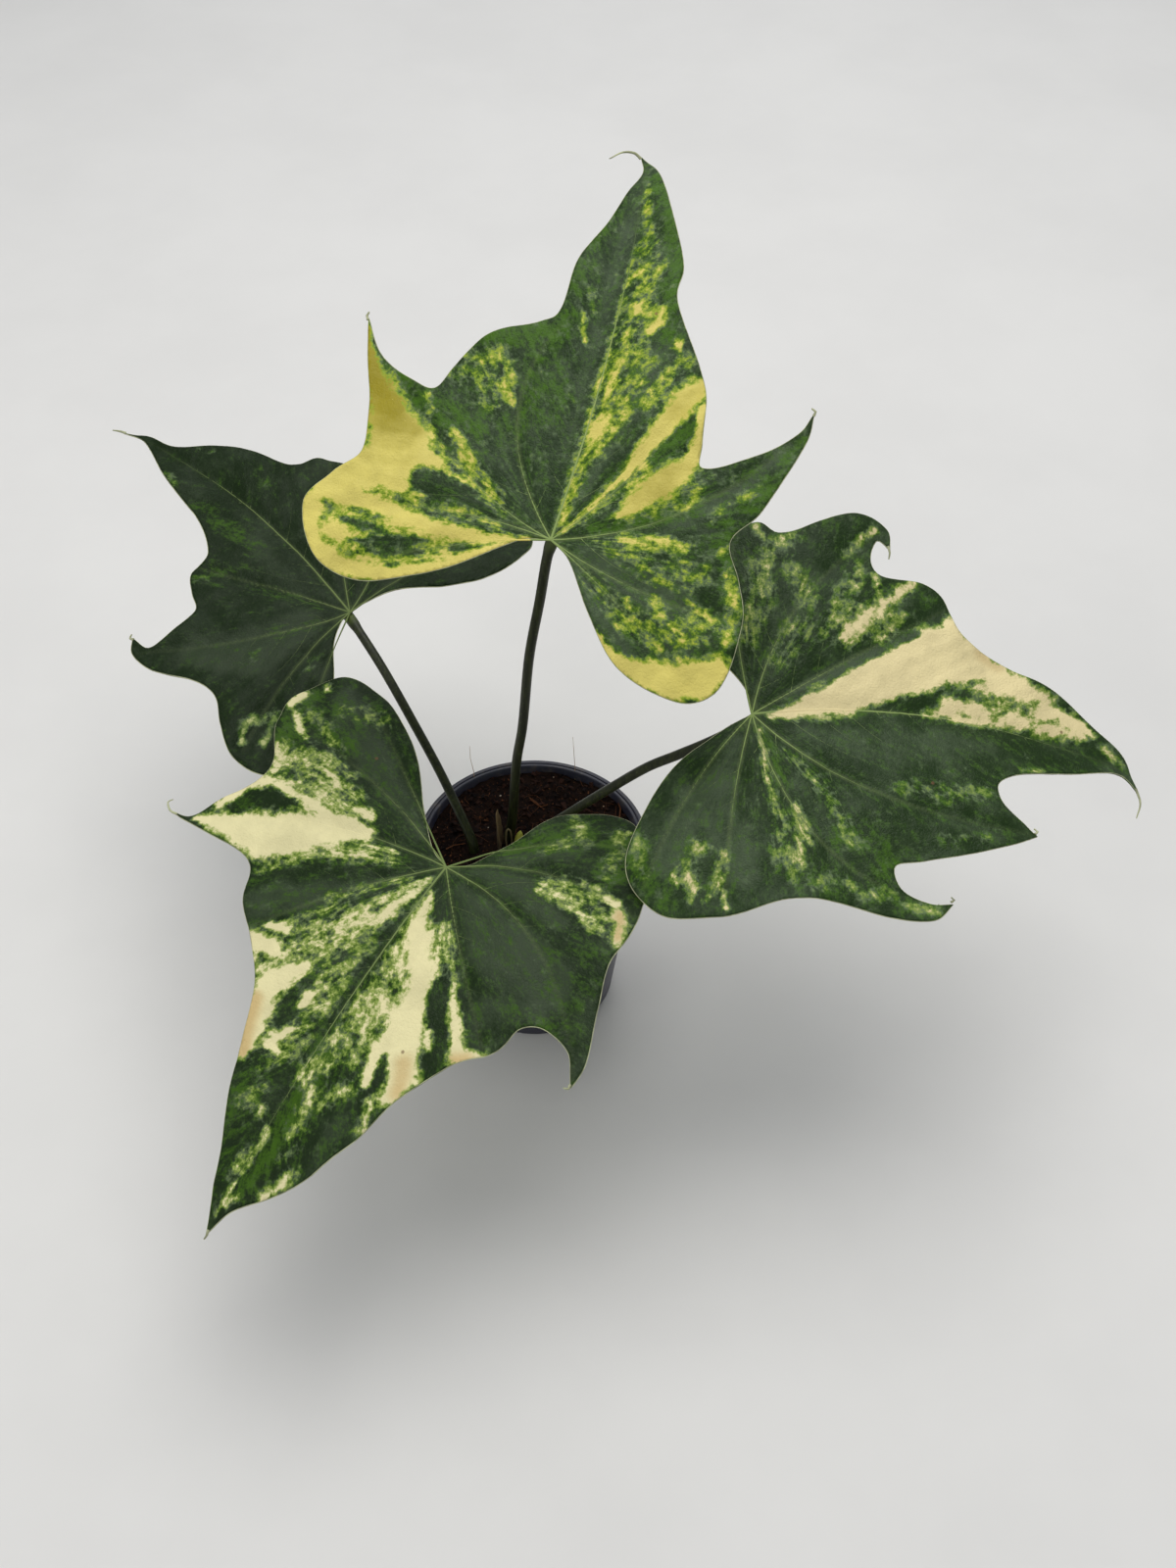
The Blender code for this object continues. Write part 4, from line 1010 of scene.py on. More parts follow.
            (0.9, [(14, 18, 2), (40, 42, 7), (66, 60, 8)]),
            (0.9, [(20, -8, 3), (50, -22, 7), (90, -38, 9), (104, -52, 6)]),
            (0.6, [(-38, 146, 4), (-34, 118, 5)]),
            (0.8, [(6, 52, 4), (18, 74, 5)]),
            (0.5, [(20, 132, 4), (10, 150, 4)]),
        ],
    },
    "leaf_back": {
        "flecked": 0.07,
        "pale": [
            (0.38, [(-13, 145, 1.5), (-14, 135, 2), (-17, 128, 1.5)]),
            (0.24, [(23, 107, 3), (20, 94, 3)]),
            (0.62, [(-87, -22, 1.5), (-92, -28, 1.5)]),
            (0.68, [(-72, -28, 1), (-84, -35, 2)]),
            (0.5, [(-84, -20, 3), (-70, -25, 3)]),
            (0.2, [(-63, 10, 3), (-52, 9, 3)]),
            (0.22, [(-47, 70, 4), (-40, 66, 4)]),
            (0.2, [(-40, -14, 3), (-30, -11, 2)]),
            (0.2, [(10, 144, 3), (15, 138, 3)]),
        ],
        "lush": [
            (0.7, [(-18, 112, 3), (-14, 98, 5), (-12, 68, 5)]),
            (0.6, [(-28, 46, 2), (-20, 30, 3), (-10, 14, 2)]),
            (0.5, [(-42, 68, 6), (-30, 62, 5)]),
            (0.5, [(-36, 12, 3), (-20, 6, 3)]),
        ],
        "tan_and_shade": [],
        "grey_sheen": [
            (1.0, [(-22, 8, 8), (-54, 10, 14), (-74, 30, 10)]),
            (0.6, [(-12, 30, 5), (-8, 70, 6)]),
            (0.4, [(12, 60, 8), (34, 84, 8)]),
        ],
    },
}
# The colours of each blade's cream, of its cream where painted straw, partly for real tan
# and partly as painted shade, and of the lime green round it, how much fresh green mottles
# the blade, how far its greens are darkened, partly for their own depth and partly as
# painted shade on the blades that lie in shade, and its few small brown spots as
# (across, along).
CREAM = {"leaf_top": (0.66, 0.57, 0.145), "leaf_right": (0.76, 0.65, 0.35),
         "leaf_front": (0.74, 0.68, 0.38), "leaf_back": (0.50, 0.52, 0.22)}
STRAW_AND_SHADE = {"leaf_top": (0.28, 0.235, 0.018), "leaf_right": (0.55, 0.42, 0.20),
         "leaf_front": (0.56, 0.42, 0.19), "leaf_back": (0.45, 0.36, 0.09)}
LIME = {"leaf_top": (0.240, 0.330, 0.022), "leaf_right": (0.210, 0.290, 0.055),
        "leaf_front": (0.230, 0.310, 0.060), "leaf_back": (0.150, 0.220, 0.050)}
MOTTLE = {"leaf_top": 0.015, "leaf_right": -0.02, "leaf_front": 0.0, "leaf_back": -0.06}
GREEN_DEPTH_AND_SHADE = {"leaf_top": 0.8, "leaf_right": 0.84, "leaf_front": 0.55, "leaf_back": 0.45}
SPOTS = {"leaf_top": [(25, 113)], "leaf_right": [(-6, 152), (31, 83)],
         "leaf_front": [(-41, 84), (65, -29)], "leaf_back": [(-30, 88)]}
# Thin threads that curl on from the sharp tips, as (across, along, lift) from the tip.
THREADS = {
    "leaf_top": [[(-2, 198, 0), (-5, 199, 2), (-10, 197, 4), (-15, 192, 5)],
                 [(-109, 93, 0), (-110, 95, 0.5), (-109, 96.5, 1.5)],
                 [(104, 75, 0), (104.5, 77, 0.5), (102.5, 78, 1)]],
    "leaf_right": [[(18, 189, 0), (25, 191, -2), (32, 189, -6)],
                   [(-89, 67, 0), (-86, 68, -1), (-83, 67.5, -2)],
                   [(90, 87, 0), (89, 88.5, 0), (88, 87, 0.5)],
                   [(52, 131, 0), (50.5, 132.5, 0), (49, 131, 0)]],
    "leaf_front": [[(137, 43, 0), (141, 43.5, 0.5), (144, 41, 1.5), (142, 39, 2)],
                   [(-112, 56, 0), (-112.5, 58, 0), (-110.5, 59, 0.5)],
                   [(-9, 190, 0), (-9.5, 192, -0.5), (-9, 194, -1.5)]],
    "leaf_back": [[(-94, 61, 0), (-95, 63, 0), (-93, 64, 1)],
                  [(-11, 184, 0), (-13, 187, 0), (-16, 189, 1)],
                  [(102, 66, 0), (105, 67, -1), (107, 66, -2)]],
}
# How each blade bends: its fold along the midrib, its waves, creases, ruffles and dents.
FOLD_ROUNDING = 12.0
WAVE_HEIGHT = 3.0
WAVE_REACH = 100.0
WAVES_ROUND = 3
CREASE_DEPTH = 1.6
CREASE_WIDTH = 5.0
SIDE_CREASE_DEPTH = 0.45
SIDE_CREASE_WIDTH = 3.2
RUFFLE_HEIGHT = 3.4
RUFFLE_SIZE = 21.0
RUFFLE_WIDTH = 11.0
DENT_HEIGHT = 1.6
DENT_SIZE = 34.0
CALM_REACH = 40.0
BLADE_CELL = 1.7
SHORTEST_EDGE = 0.15
BLADE_THICKNESS = 0.9
MARGIN_STEP = 1.8
MARGIN_RADIUS = 0.32
MARGIN_SINK = 0.4
THREAD_STEP = 1.5
THREAD_RADIUS = 0.75
THREAD_TAPER = 0.5
FINDER_STEP = 0.4
# The veins. A rib is (radius at its base, radius at its tip, share of it that is sunk).
VEIN_STEP = 3.0
MIDRIB = (0.85, 0.08, 0.6)
MAIN_RIB = (0.55, 0.06, 0.65)
SIDE_RIB = (0.17, 0.06, 0.75)
MAIN_RIB_SHARE = 0.85
SIDE_VEIN_START = 16.0
SIDE_VEIN_SHIFT = 4.0
SIDE_VEIN_END = 0.9
SIDE_VEIN_GAP = 15.0
SIDE_VEIN_UNEVENNESS = 0.35
SIDE_VEIN_ANGLE = 52.0
SIDE_VEIN_BEND = 0.955
SIDE_VEIN_STEP = 3.0
SIDE_VEIN_POINTS = (5, 24)
SIDE_VEIN_APART = 4.5
MAIN_VEIN_APART = 2.0
OFF_THE_LEAF = (1000.0, 1000.0)
# The paint's soft edges, and the streaks that it breaks up along.
STROKE_SOFTNESS = (3.2, 9.0)
STROKE_SPREAD = 0.6
# How greyish the blades are, as a painted sheen, where no grey_sheen stroke is.
GREY_SHEEN_GROUND = 0.25
STREAK_ANGLE = 0.5
STREAK_RATE = 1.0 / 160.0
STREAK_SCALE = 18.0
LEAF_SHIFT = 37.0
SIDE_SHIFT = 3.0
# How much paleness turns the green to its middle tone, to lime and to cream.
MIDDLE_SHOWS = (0.14, 0.40)
LIME_SHOWS = (0.30, 0.62)
CREAM_SHOWS = (0.52, 0.82)
DEEP_GREEN = (0.015, 0.036, 0.007)
# The greyish green stands partly for a painted sheen on the blades.
SHEEN_GREY_GREEN = (0.062, 0.094, 0.046)
LEAF_GREEN = (0.055, 0.130, 0.009)
SAGE_GREEN = (0.110, 0.165, 0.075)
VEIN_GREEN = (0.210, 0.280, 0.090)
VEIN_DARK = (0.042, 0.072, 0.024)
UNDER_GREEN = (0.085, 0.130, 0.055)
MARGIN_PALE = (0.480, 0.500, 0.300)
SPOT_BROWN = (0.140, 0.070, 0.035)


def smooth_curve(points, step):
    """Points about step apart on a smooth curve through the given ones, without the first."""
    points = [Vector(point) for point in points]
    times = [0.0]
    for a, b in zip(points, points[1:]):
        times.append(times[-1] + math.sqrt((b - a).length))
    last = len(points) - 1
    slopes = []
    for i in range(last + 1):
        before, after = max(i - 1, 0), min(i + 1, last)
        slopes.append((points[after] - points[before]) / (times[after] - times[before]))
    curve = []
    for i in range(last):
        span = times[i + 1] - times[i]
        count = max(1, round((points[i + 1] - points[i]).length / step))
        for k in range(1, count + 1):
            t = k / count
            curve.append(points[i] * (2 * t**3 - 3 * t**2 + 1)
                         + slopes[i] * (span * (t**3 - 2 * t**2 + t))
                         + points[i + 1] * (3 * t**2 - 2 * t**3)
                         + slopes[i + 1] * (span * (t**3 - t**2)))
    return curve


def leaf_axes(leaf):
    """Directions of across, along and up for a leaf's own plan."""
    heading, pitch, roll = (math.radians(leaf[key]) for key in ("heading", "pitch", "roll"))
    along = Vector((math.sin(heading) * math.cos(pitch), math.cos(heading) * math.cos(pitch),
                    math.sin(pitch)))
    level = Vector((math.cos(heading), -math.sin(heading), 0.0))
    across = level * math.cos(roll) + level.cross(along) * math.sin(roll)
    return np.array(across), np.array(along), np.array(across.cross(along))


def line_finder(lines):
    """A search tree of spots close together along lines of plan points."""
    spots = []
    for line in lines:
        for a, b in zip(line, line[1:]):
            count = max(1, math.ceil(math.dist(a, b) / FINDER_STEP))
            spots += [a + (b - a) * k / count for k in range(count)]
        spots.append(line[-1])
    finder = KDTree(len(spots))
    for number, (x, y) in enumerate(spots):
        finder.insert((x, y, 0.0), number)
    finder.balance()
    return finder


def distances(points, finder):
    """How far each plan point is from the finder's lines."""
    return np.array([finder.find((x, y, 0.0))[2] for x, y in points])


def vein_lines(leaf):
    """Each main vein as an array of plan points, from the notch out."""
    lines = []
    for bend, end in leaf["veins"]:
        bend, end = np.array(bend, float), np.array(end, float)
        t = np.linspace(0.0, 1.0, max(3, round(np.linalg.norm(end) / VEIN_STEP)))[:, None]
        lines.append(bend * (2 * t * (1 - t)) + end * t**2)
    return lines


def margin_loop(leaf):
    """The leaf's whole margin as one closed loop of plan points."""
    loop = []
    start = (0.0, 0.0)
    for stretch in leaf["margin"]:
        loop += smooth_curve([start] + stretch, MARGIN_STEP)
        start = stretch[-1]
    return np.array([loop[-1]] + loop)


def is_inside(point, loop):
    """Whether a line from the point to the right crosses the loop an odd number of times."""
    a, b = loop[:-1], loop[1:]
    straddles = (a[:, 1] > point[1]) != (b[:, 1] > point[1])
    rise = np.where(b[:, 1] == a[:, 1], 1.0, b[:, 1] - a[:, 1])
    crossing = a[:, 0] + (b[:, 0] - a[:, 0]) * (point[1] - a[:, 1]) / rise
    return bool(np.sum(straddles & (point[0] < crossing)) % 2)


def side_vein_lines(mains, loop):
    """Side veins that leave the main ones both ways, bend to their tips and never cross."""
    lines = []
    taken = np.array([OFF_THE_LEAF])
    margin = line_finder([loop])
    fewest, most = SIDE_VEIN_POINTS
    for number, main in enumerate(mains):
        others = line_finder([line for line in mains if line is not main])
        reach = np.concatenate([[0.0], np.cumsum(np.linalg.norm(np.diff(main, axis=0), axis=1))])
        for side in (-1.0, 1.0):
            start = SIDE_VEIN_START + SIDE_VEIN_SHIFT * side
            while start < reach[-1] * SIDE_VEIN_END:
                k = int(np.searchsorted(reach, start))
                ahead = main[min(k + 1, len(main) - 1)] - main[k - 1]
                heading = math.atan2(ahead[1], ahead[0])
                turn = math.radians(SIDE_VEIN_ANGLE) * side
                line = [main[k]]
                while len(line) < most:
                    angle = heading + turn
                    point = line[-1] + SIDE_VEIN_STEP * np.array((math.cos(angle), math.sin(angle)))
                    spot = (*point, 0.0)
                    if not is_inside(point, loop) or margin.find(spot)[2] < SIDE_VEIN_STEP:
                        break
                    if others.find(spot)[2] < MAIN_VEIN_APART:
                        break
                    if np.linalg.norm(taken - point, axis=1).min() < SIDE_VEIN_APART:
                        break
                    line.append(point)
                    turn *= SIDE_VEIN_BEND
                if len(line) >= fewest:
                    lines.append(np.array(line))
                    taken = np.vstack([taken, line])
                uneven = SIDE_VEIN_UNEVENNESS * noise.noise(Vector((number, start, side)))
                start += SIDE_VEIN_GAP * (1.0 + uneven)
    return lines


def surface(leaf, points):
    """Where plan points of a leaf lie in space: drooping, folded, waved, creased and ruffled."""
    points = np.asarray(points, float)
    across, along = points.T
    droop = np.where(along > 0, leaf["droop"], leaf["back_droop"])
    height = -along**2 / (2 * droop) - across**2 / (2 * leaf["side_droop"])
    height += leaf["fold"] * (np.hypot(across, FOLD_ROUNDING) - FOLD_ROUNDING)
    wave = np.sin(WAVES_ROUND * np.arctan2(across, along) + leaf["wave_start"])
    height += WAVE_HEIGHT * wave * (across**2 + along**2) / WAVE_REACH**2
    near_main = distances(points, leaf["near_mains"])
    height -= CREASE_DEPTH * np.exp(-(near_main / CREASE_WIDTH) ** 2)
    near_side = distances(points, leaf["near_sides"])
    away = np.clip(np.hypot(across, along) / CALM_REACH, 0.0, 1.0)
    height -= SIDE_CREASE_DEPTH * away * np.exp(-(near_side / SIDE_CREASE_WIDTH) ** 2)
    edge = distances(points, leaf["near_margin"])
    ruffle = np.array([noise.noise(Vector((x, y, leaf["heading"])) / RUFFLE_SIZE) for x, y in points])
    dent = np.array([noise.noise(Vector((x, leaf["heading"], y)) / DENT_SIZE) for x, y in points])
    height += RUFFLE_HEIGHT * ruffle * away * np.exp(-(edge / RUFFLE_WIDTH) ** 2)
    height += DENT_HEIGHT * dent * away
    axes = leaf_axes(leaf)
    return (np.array(leaf["notch"]) + np.outer(across, axes[0]) + np.outer(along, axes[1])
            + np.outer(height, axes[2]))


def painted(points, strokes, ground=0.0):
    """How much each plan point is covered, from 0 to 1, after all the strokes."""
    cover = np.full(len(points), ground)
    for strength, stroke in strokes:
        touch = np.zeros(len(points))
        for start, end in zip(stroke, stroke[1:] or stroke):
            a, b = np.array(start[:2], float), np.array(end[:2], float)
            share = np.clip((points - a) @ (b - a) / max((b - a) @ (b - a), WELD), 0.0, 1.0)
            width = start[2] + (end[2] - start[2]) * share
            away = np.linalg.norm(points - a - share[:, None] * (b - a), axis=1)
            softness = np.clip(1.0 + 1.5 * width, *STROKE_SOFTNESS)
            touch = np.maximum(touch, np.clip((width - away) / softness + STROKE_SPREAD, 0.0, 1.0))
        cover = np.maximum(cover, strength * touch) if strength > 0 else cover * (1.0 + strength * touch)
    return cover


def write_attribute(mesh, name, values):
    """A number or a vector for each vertex, for the finishes to read."""
    values = np.asarray(values, np.float32)
    kind, field = ("FLOAT", "value") if values.ndim == 1 else ("FLOAT_VECTOR", "vector")
    mesh.attributes.new(name, kind, "POINT").data.foreach_set(field, values.ravel())


def streak_places(plan):
    """Where plan points lie across and along the streaks, which fan out from the notch and
    leave the middle rib at a slant."""
    bearing = np.abs(np.arctan2(plan[:, 0], plan[:, 1]))
    start = plan[:, 1] - np.abs(plan[:, 0]) / math.tan(STREAK_ANGLE)
    fan = np.where(bearing < STREAK_ANGLE, -start * STREAK_RATE, bearing - STREAK_ANGLE)
    return fan + SIDE_SHIFT * (plan[:, 0] > 0.0), np.linalg.norm(plan, axis=1)


def mark_places(mesh, name, leaf):
    """Tells each vertex where it lies on its leaf and how it is painted there."""
    places = np.array([vert.co for vert in mesh.vertices]) / MM - np.array(leaf["notch"])
    axes = leaf_axes(leaf)
    plan = np.column_stack([places @ axes[0], places @ axes[1]])
    kind = np.full(len(plan), LEAF_SHIFT * list(LEAVES).index(name))
    paint = PAINT[name]
    write_attribute(mesh, "plan", np.column_stack([plan, kind]))
    write_attribute(mesh, "streak", np.column_stack([*streak_places(plan), kind]))
    write_attribute(mesh, "pale", painted(plan, paint["pale"], paint["flecked"]))
    write_attribute(mesh, "lush", painted(plan, paint["lush"]))
    write_attribute(mesh, "tan_and_shade", painted(plan, paint["tan_and_shade"]))
    write_attribute(mesh, "grey_sheen", painted(plan, paint["grey_sheen"], GREY_SHEEN_GROUND))
    write_attribute(mesh, "rib", distances(plan, leaf["near_mains"]))
    write_attribute(mesh, "edge", distances(plan, leaf["near_margin"]))


def toned(factor, colour):
    """The same colour, darker or brighter by that factor."""
    return tuple(factor * part for part in colour)


def leaf_places(tree):
    """The plan and the streaks' coordinates, as mark_places wrote them."""
    return read_attribute(tree, "plan", "Vector"), read_attribute(tree, "streak", "Vector")


def paleness(tree, plan, streak):
    """The painted paleness, broken up along the streaks and in flecks where it isn't solid."""
    pale = read_attribute(tree, "pale")
    feather = mottling(tree, stretched(tree, streak, (STREAK_SCALE, 0.10, 1.0)), 1.0, 5.0, 0.64)
    clump = mottling(tree, plan, 0.10, 2.0, 0.5)
    fleck = mottling(tree, plan, 0.34, 5.0, 0.66)
    loose = times(tree, times(tree, pale, sums(tree, "SUBTRACT", 1.0, pale)), 4.0)
    loose = plus(tree, loose, 0.06)
    broken = plus(tree, centred(tree, feather, 1.35), centred(tree, clump, 0.6))
    broken = plus(tree, broken, centred(tree, fleck, 1.2))
    return plus(tree, pale, times(tree, broken, loose))


def green_skin(tree, name, plan, streak, value, grains):
    """Deep and greyish green in clouds, the greyish green partly a painted sheen, fresh green in streaks, and
    lime where it is paler.
    """
    mixed = mottling(tree, stretched(tree, streak, (STREAK_SCALE, 0.09, 1.7)), 1.0, 5.0, 0.74)
    fresh = plus(tree, mixed, centred(tree, grains, 0.6))
    lush = times(tree, read_attribute(tree, "lush"), 0.20)
    fresh = plus(tree, plus(tree, fresh, lush), MOTTLE[name])
    cloud = centred(tree, mottling(tree, plan, 0.05, 3.0, 0.55), 1.5)
    grit = centred(tree, plus(tree, grains, sums(tree, "SUBTRACT", mixed, 0.5)), 1.0)
    # The greyish share is partly painted sheen, laid on by the grey_sheen strokes.
    sheen_greyness = plus(tree, read_attribute(tree, "grey_sheen"), plus(tree, cloud, grit))
    # The greens are darkened by this factor, partly as painted shade.
    strength = GREEN_DEPTH_AND_SHADE[name]
    leafy = toned(0.4 + 0.6 * strength, LEAF_GREEN)
    green = blend(tree, ease(tree, sheen_greyness, 0.0, 1.0), toned(strength, DEEP_GREEN),
                  toned(strength, SHEEN_GREY_GREEN))
    green = blend(tree, ease(tree, fresh, 0.48, 0.78), green, leafy)
    patches = mottling(tree, stretched(tree, plan, (0.17, 0.17, 1.3)), 1.0, 5.0, 0.62)
    middle = blend(tree, ease(tree, patches, 0.44, 0.56), leafy, toned(0.3 + 0.7 * strength, SAGE_GREEN))
    green = blend(tree, ease(tree, value, *MIDDLE_SHOWS), green, middle)
    speckled = plus(tree, value, centred(tree, grains, 0.5))
    return blend(tree, ease(tree, speckled, *LIME_SHOWS), green, LIME[name])


def cream_skin(tree, name, plan):
    """Cream in faint clouds, turned to straw by the tan_and_shade strokes, partly real tan and partly painted
    shade.
    """
    tone = mottling(tree, plan, 0.05, 3.0, 0.6)
    cream = blend(tree, ease(tree, tone, 0.35, 0.70), CREAM[name], toned(0.86, CREAM[name]))
    # Straw here is partly a real tan and partly painted shade on the parts that lie in shade.
    tan = plus(tree, read_attribute(tree, "tan_and_shade"), centred(tree, tone, 0.5))
    return blend(tree, ease(tree, tan, 0.2, 1.0), cream, STRAW_AND_SHADE[name])


def upper_finish(name):
    """Satin leaf skin, green and splashed with cream, paler beside the ribs, softly quilted."""
    strength = GREEN_DEPTH_AND_SHADE[name]
    material, tree, shader = new_finish(name + "_upper", 0.42, 0.05 + 0.1 * strength)
    plan, streak = leaf_places(tree)
    value = paleness(tree, plan, streak)
    grains = mottling(tree, plan, 0.50, 5.0, 0.72)
    cream = cream_skin(tree, name, plan)
    colour = blend(tree, ease(tree, value, *CREAM_SHOWS),
                   green_skin(tree, name, plan, streak, value, grains), cream)
    far = add_node(tree, "SeparateXYZ", {0: streak}).outputs[1]
    fading = plus(tree, ease(tree, far, 120.0, 20.0), 0.25)
    beside = times(tree, ease(tree, read_attribute(tree, "rib"), 1.7, 0.4), fading)
    colour = blend(tree, times(tree, beside, 0.2 * strength), colour,
                   blend(tree, ease(tree, value, 0.4, 0.6), VEIN_GREEN, cream))
    for across, along in SPOTS[name]:
        away = add_node(tree, "VectorMath", {0: stretched(tree, plan, (1.0, 1.0, 0.0)),
                                             1: (across, along, 0.0)}, operation="DISTANCE")
        near = ease(tree, plus(tree, away.outputs["Value"], centred(tree, grains, 0.8)), 1.1, 0.5)
        colour = blend(tree, times(tree, near, 0.7), colour, SPOT_BROWN)
    use_colour(tree, shader, colour)
    vary_gloss(tree, shader, grains, 0.30, 0.52)
    net = add_node(tree, "TexVoronoi", {"Vector": plan, "Scale": 0.55}, feature="DISTANCE_TO_EDGE")
    skin = plus(tree, times(tree, ease(tree, net.outputs["Distance"], 0.0, 0.25), 0.5),
                mottling(tree, plan, 1.1, 3.0, 0.6))
    quilt = mottling(tree, plan, 0.16, 2.0, 0.5)
    raise_surface(tree, shader, plus(tree, skin, times(tree, quilt, 4.5)), 0.16)
    return material


def under_finish(name):
    """The duller lower face, where the pale parts show through."""
    material, tree, shader = new_finish(name + "_lower", 0.62)
    plan, streak = leaf_places(tree)
    soft = mottling(tree, plan, 0.08, 4.0, 0.6)
    green = blend(tree, ease(tree, soft, 0.35, 0.65), UNDER_GREEN, toned(1.35, UNDER_GREEN))
    shown = ease(tree, paleness(tree, plan, streak), 0.50, 0.66)
    use_colour(tree, shader, blend(tree, shown, green, toned(0.72, CREAM[name])))
    net = add_node(tree, "TexVoronoi", {"Vector": plan, "Scale": 0.4}, feature="DISTANCE_TO_EDGE")
    raise_surface(tree, shader, ease(tree, net.outputs["Distance"], 0.3, 0.0), 0.2)
    return material


def vein_finish(name):
    """Pale green ribs that turn cream in the cream parts and darken away from the notch, the
    middle one later than the rest."""
    material, tree, shader = new_finish(name + "_vein", 0.5, 0.14)
    plan, streak = leaf_places(tree)
    soft = mottling(tree, plan, 0.2, 3.0, 0.6)
    far = plus(tree, add_node(tree, "SeparateXYZ", {0: streak}).outputs[1], centred(tree, soft, 60.0))
    place = add_node(tree, "SeparateXYZ", {0: plan}).outputs
    slant = sums(tree, "ABSOLUTE", sums(tree, "DIVIDE", place[0], place[1]), 0.0)
    middle = times(tree, ease(tree, slant, 0.2, 0.12), ease(tree, read_attribute(tree, "rib"), 2.0, 1.0))
    far = sums(tree, "SUBTRACT", far, times(tree, middle, 80.0))
    # The ribs are darkened by the same factor, partly as painted shade.
    near, end = (toned(1.4 * GREEN_DEPTH_AND_SHADE[name], tone) for tone in (VEIN_GREEN, VEIN_DARK))
    green = blend(tree, ease(tree, far, 0.0, 95.0), near, end)
    share = plus(tree, read_attribute(tree, "pale"), centred(tree, soft, 0.4))
    use_colour(tree, shader, blend(tree, ease(tree, share, 0.5, 0.7), green, CREAM[name]))
    return material


def margin_finish(name):
    """The thin hard margin, almost white."""
    material, tree, shader = new_finish(name + "_margin", 0.5, 0.2)
    soft = mottling(tree, read_attribute(tree, "plan", "Vector"), 0.15, 3.0, 0.6)
    use_colour(tree, shader, blend(tree, ease(tree, soft, 0.35, 0.65), MARGIN_PALE,
                                   toned(0.55, MARGIN_PALE)))
    return material


def blade_mesh(leaf):
    """The whole margin filled, sliced into small cells and bent into the leaf's shape."""
    bm = bmesh.new()
    bm.faces.new([bm.verts.new((x, y, 0.0)) for x, y in leaf["loop"][1:]])
    slice_evenly(bm, BLADE_CELL)
    bmesh.ops.dissolve_degenerate(bm, dist=SHORTEST_EDGE, edges=bm.edges)
    places = surface(leaf, [vert.co.xy for vert in bm.verts])
    for vert, place in zip(bm.verts, places):
        vert.co = place
    bm.normal_update()
    up = Vector(leaf_axes(leaf)[2])
    wrong = [face for face in bm.faces if face.normal.dot(up) < 0.0]
    bmesh.ops.reverse_faces(bm, faces=wrong)
    return bm


def rib_path(leaf, line, base, tip, sink):
    """A vein as a tube that tapers from base to tip and lies sunk by that share of its radius."""
    up = leaf_axes(leaf)[2]
    shares = np.linspace(0.0, 1.0, len(line))
    radii = base + (tip - base) * shares**0.8
    return [(*(place - up * radius * sink), radius)
            for place, radius in zip(surface(leaf, line), radii)]


def rib_paths(leaf):
    """All the leaf's ribs, the main ones stopping short of the tips of their lobes."""
    midrib, *mains = leaf["mains"]
    short = [line[:round(MAIN_RIB_SHARE * len(line))] for line in mains]
    return ([rib_path(leaf, midrib, *MIDRIB)] + [rib_path(leaf, line, *MAIN_RIB) for line in short]
            + [rib_path(leaf, line, *SIDE_RIB) for line in leaf["sides"]])


def margin_paths(name, leaf):
    """A bead round the whole margin, and the threads that taper on from the tips."""
    up = leaf_axes(leaf)[2]
    paths = [[(*place, MARGIN_RADIUS) for place in surface(leaf, leaf["loop"]) - up * MARGIN_SINK]]
    for thread in THREADS[name]:
        places = [surface(leaf, [spot[:2]])[0] + up * spot[2] for spot in thread]
        curve = [places[0]] + smooth_curve(places, THREAD_STEP)
        paths.append([(*point, THREAD_RADIUS - THREAD_TAPER * k / len(curve))
                      for k, point in enumerate(curve)])
    return paths


def add_leaf_tubes(name, leaf, paths, finish):
    """The leaf's veins or its margin, as one piece of thin tubes."""
    tubes = add_mesh_piece(name, tube_mesh(name, paths, 1), [finish])
    mark_places(tubes.data, leaf, LEAVES[leaf])


for name, leaf in LEAVES.items():
    leaf["mains"] = vein_lines(leaf)
    leaf["loop"] = margin_loop(leaf)
    leaf["sides"] = side_vein_lines(leaf["mains"], leaf["loop"])
    leaf["near_mains"] = line_finder(leaf["mains"])
    leaf["near_sides"] = line_finder(leaf["sides"])
    leaf["near_margin"] = line_finder([leaf["loop"]])
    upper, lower, ribs = upper_finish(name), under_finish(name), vein_finish(name)
    blade = add_piece(name + "_blade", blade_mesh(leaf), [upper, lower, ribs], [name],
                      ALL_SMOOTH)
    mark_places(blade.data, name, leaf)
    sheet = blade.modifiers.new("thickness", "SOLIDIFY")
    sheet.thickness = BLADE_THICKNESS * MM
    sheet.offset = -1.0
    sheet.material_offset = 1
    sheet.material_offset_rim = 2
    add_leaf_tubes(name + "_veins", name, rib_paths(leaf), ribs)
    add_leaf_tubes(name + "_margin", name, margin_paths(name, leaf), margin_finish(name))


# Each blade is held by its own long stalk, smooth, round and olive green, a little
# thicker where it leaves the soil and swollen into a paler knee under the blade.
STALKS = {
    "leaf_top": [(-12.5, 7, 106), (-9.9, 6.6, 123), (-6.8, 6.2, 163), (-3.0, 5.7, 190),
                 (1.2, 5.1, 236), (6.9, 4.5, 272), (10.6, 4.6, 297)],
    "leaf_right": [(1, 4, 106), (4.5, 3, 115), (17.5, -1.1, 132), (38.7, -7.8, 158),
                   (57.6, -13.6, 180), (72.3, -18.2, 193.5), (88.3, -23.2, 208.5)],
    "leaf_front": [(-14, -10, 106), (-15.5, -15, 114), (-21, -30, 126), (-28.5, -50, 146),
                   (-34, -68, 165)],
    "leaf_back": [(-30, -2, 106), (-31.5, 0.5, 113), (-46.2, 21.8, 137), (-60.5, 42.5, 153.5),
                  (-77.3, 67.4, 169.5), (-90.5, 86.5, 178.5)],
}
STALK_FOOT = 80.0
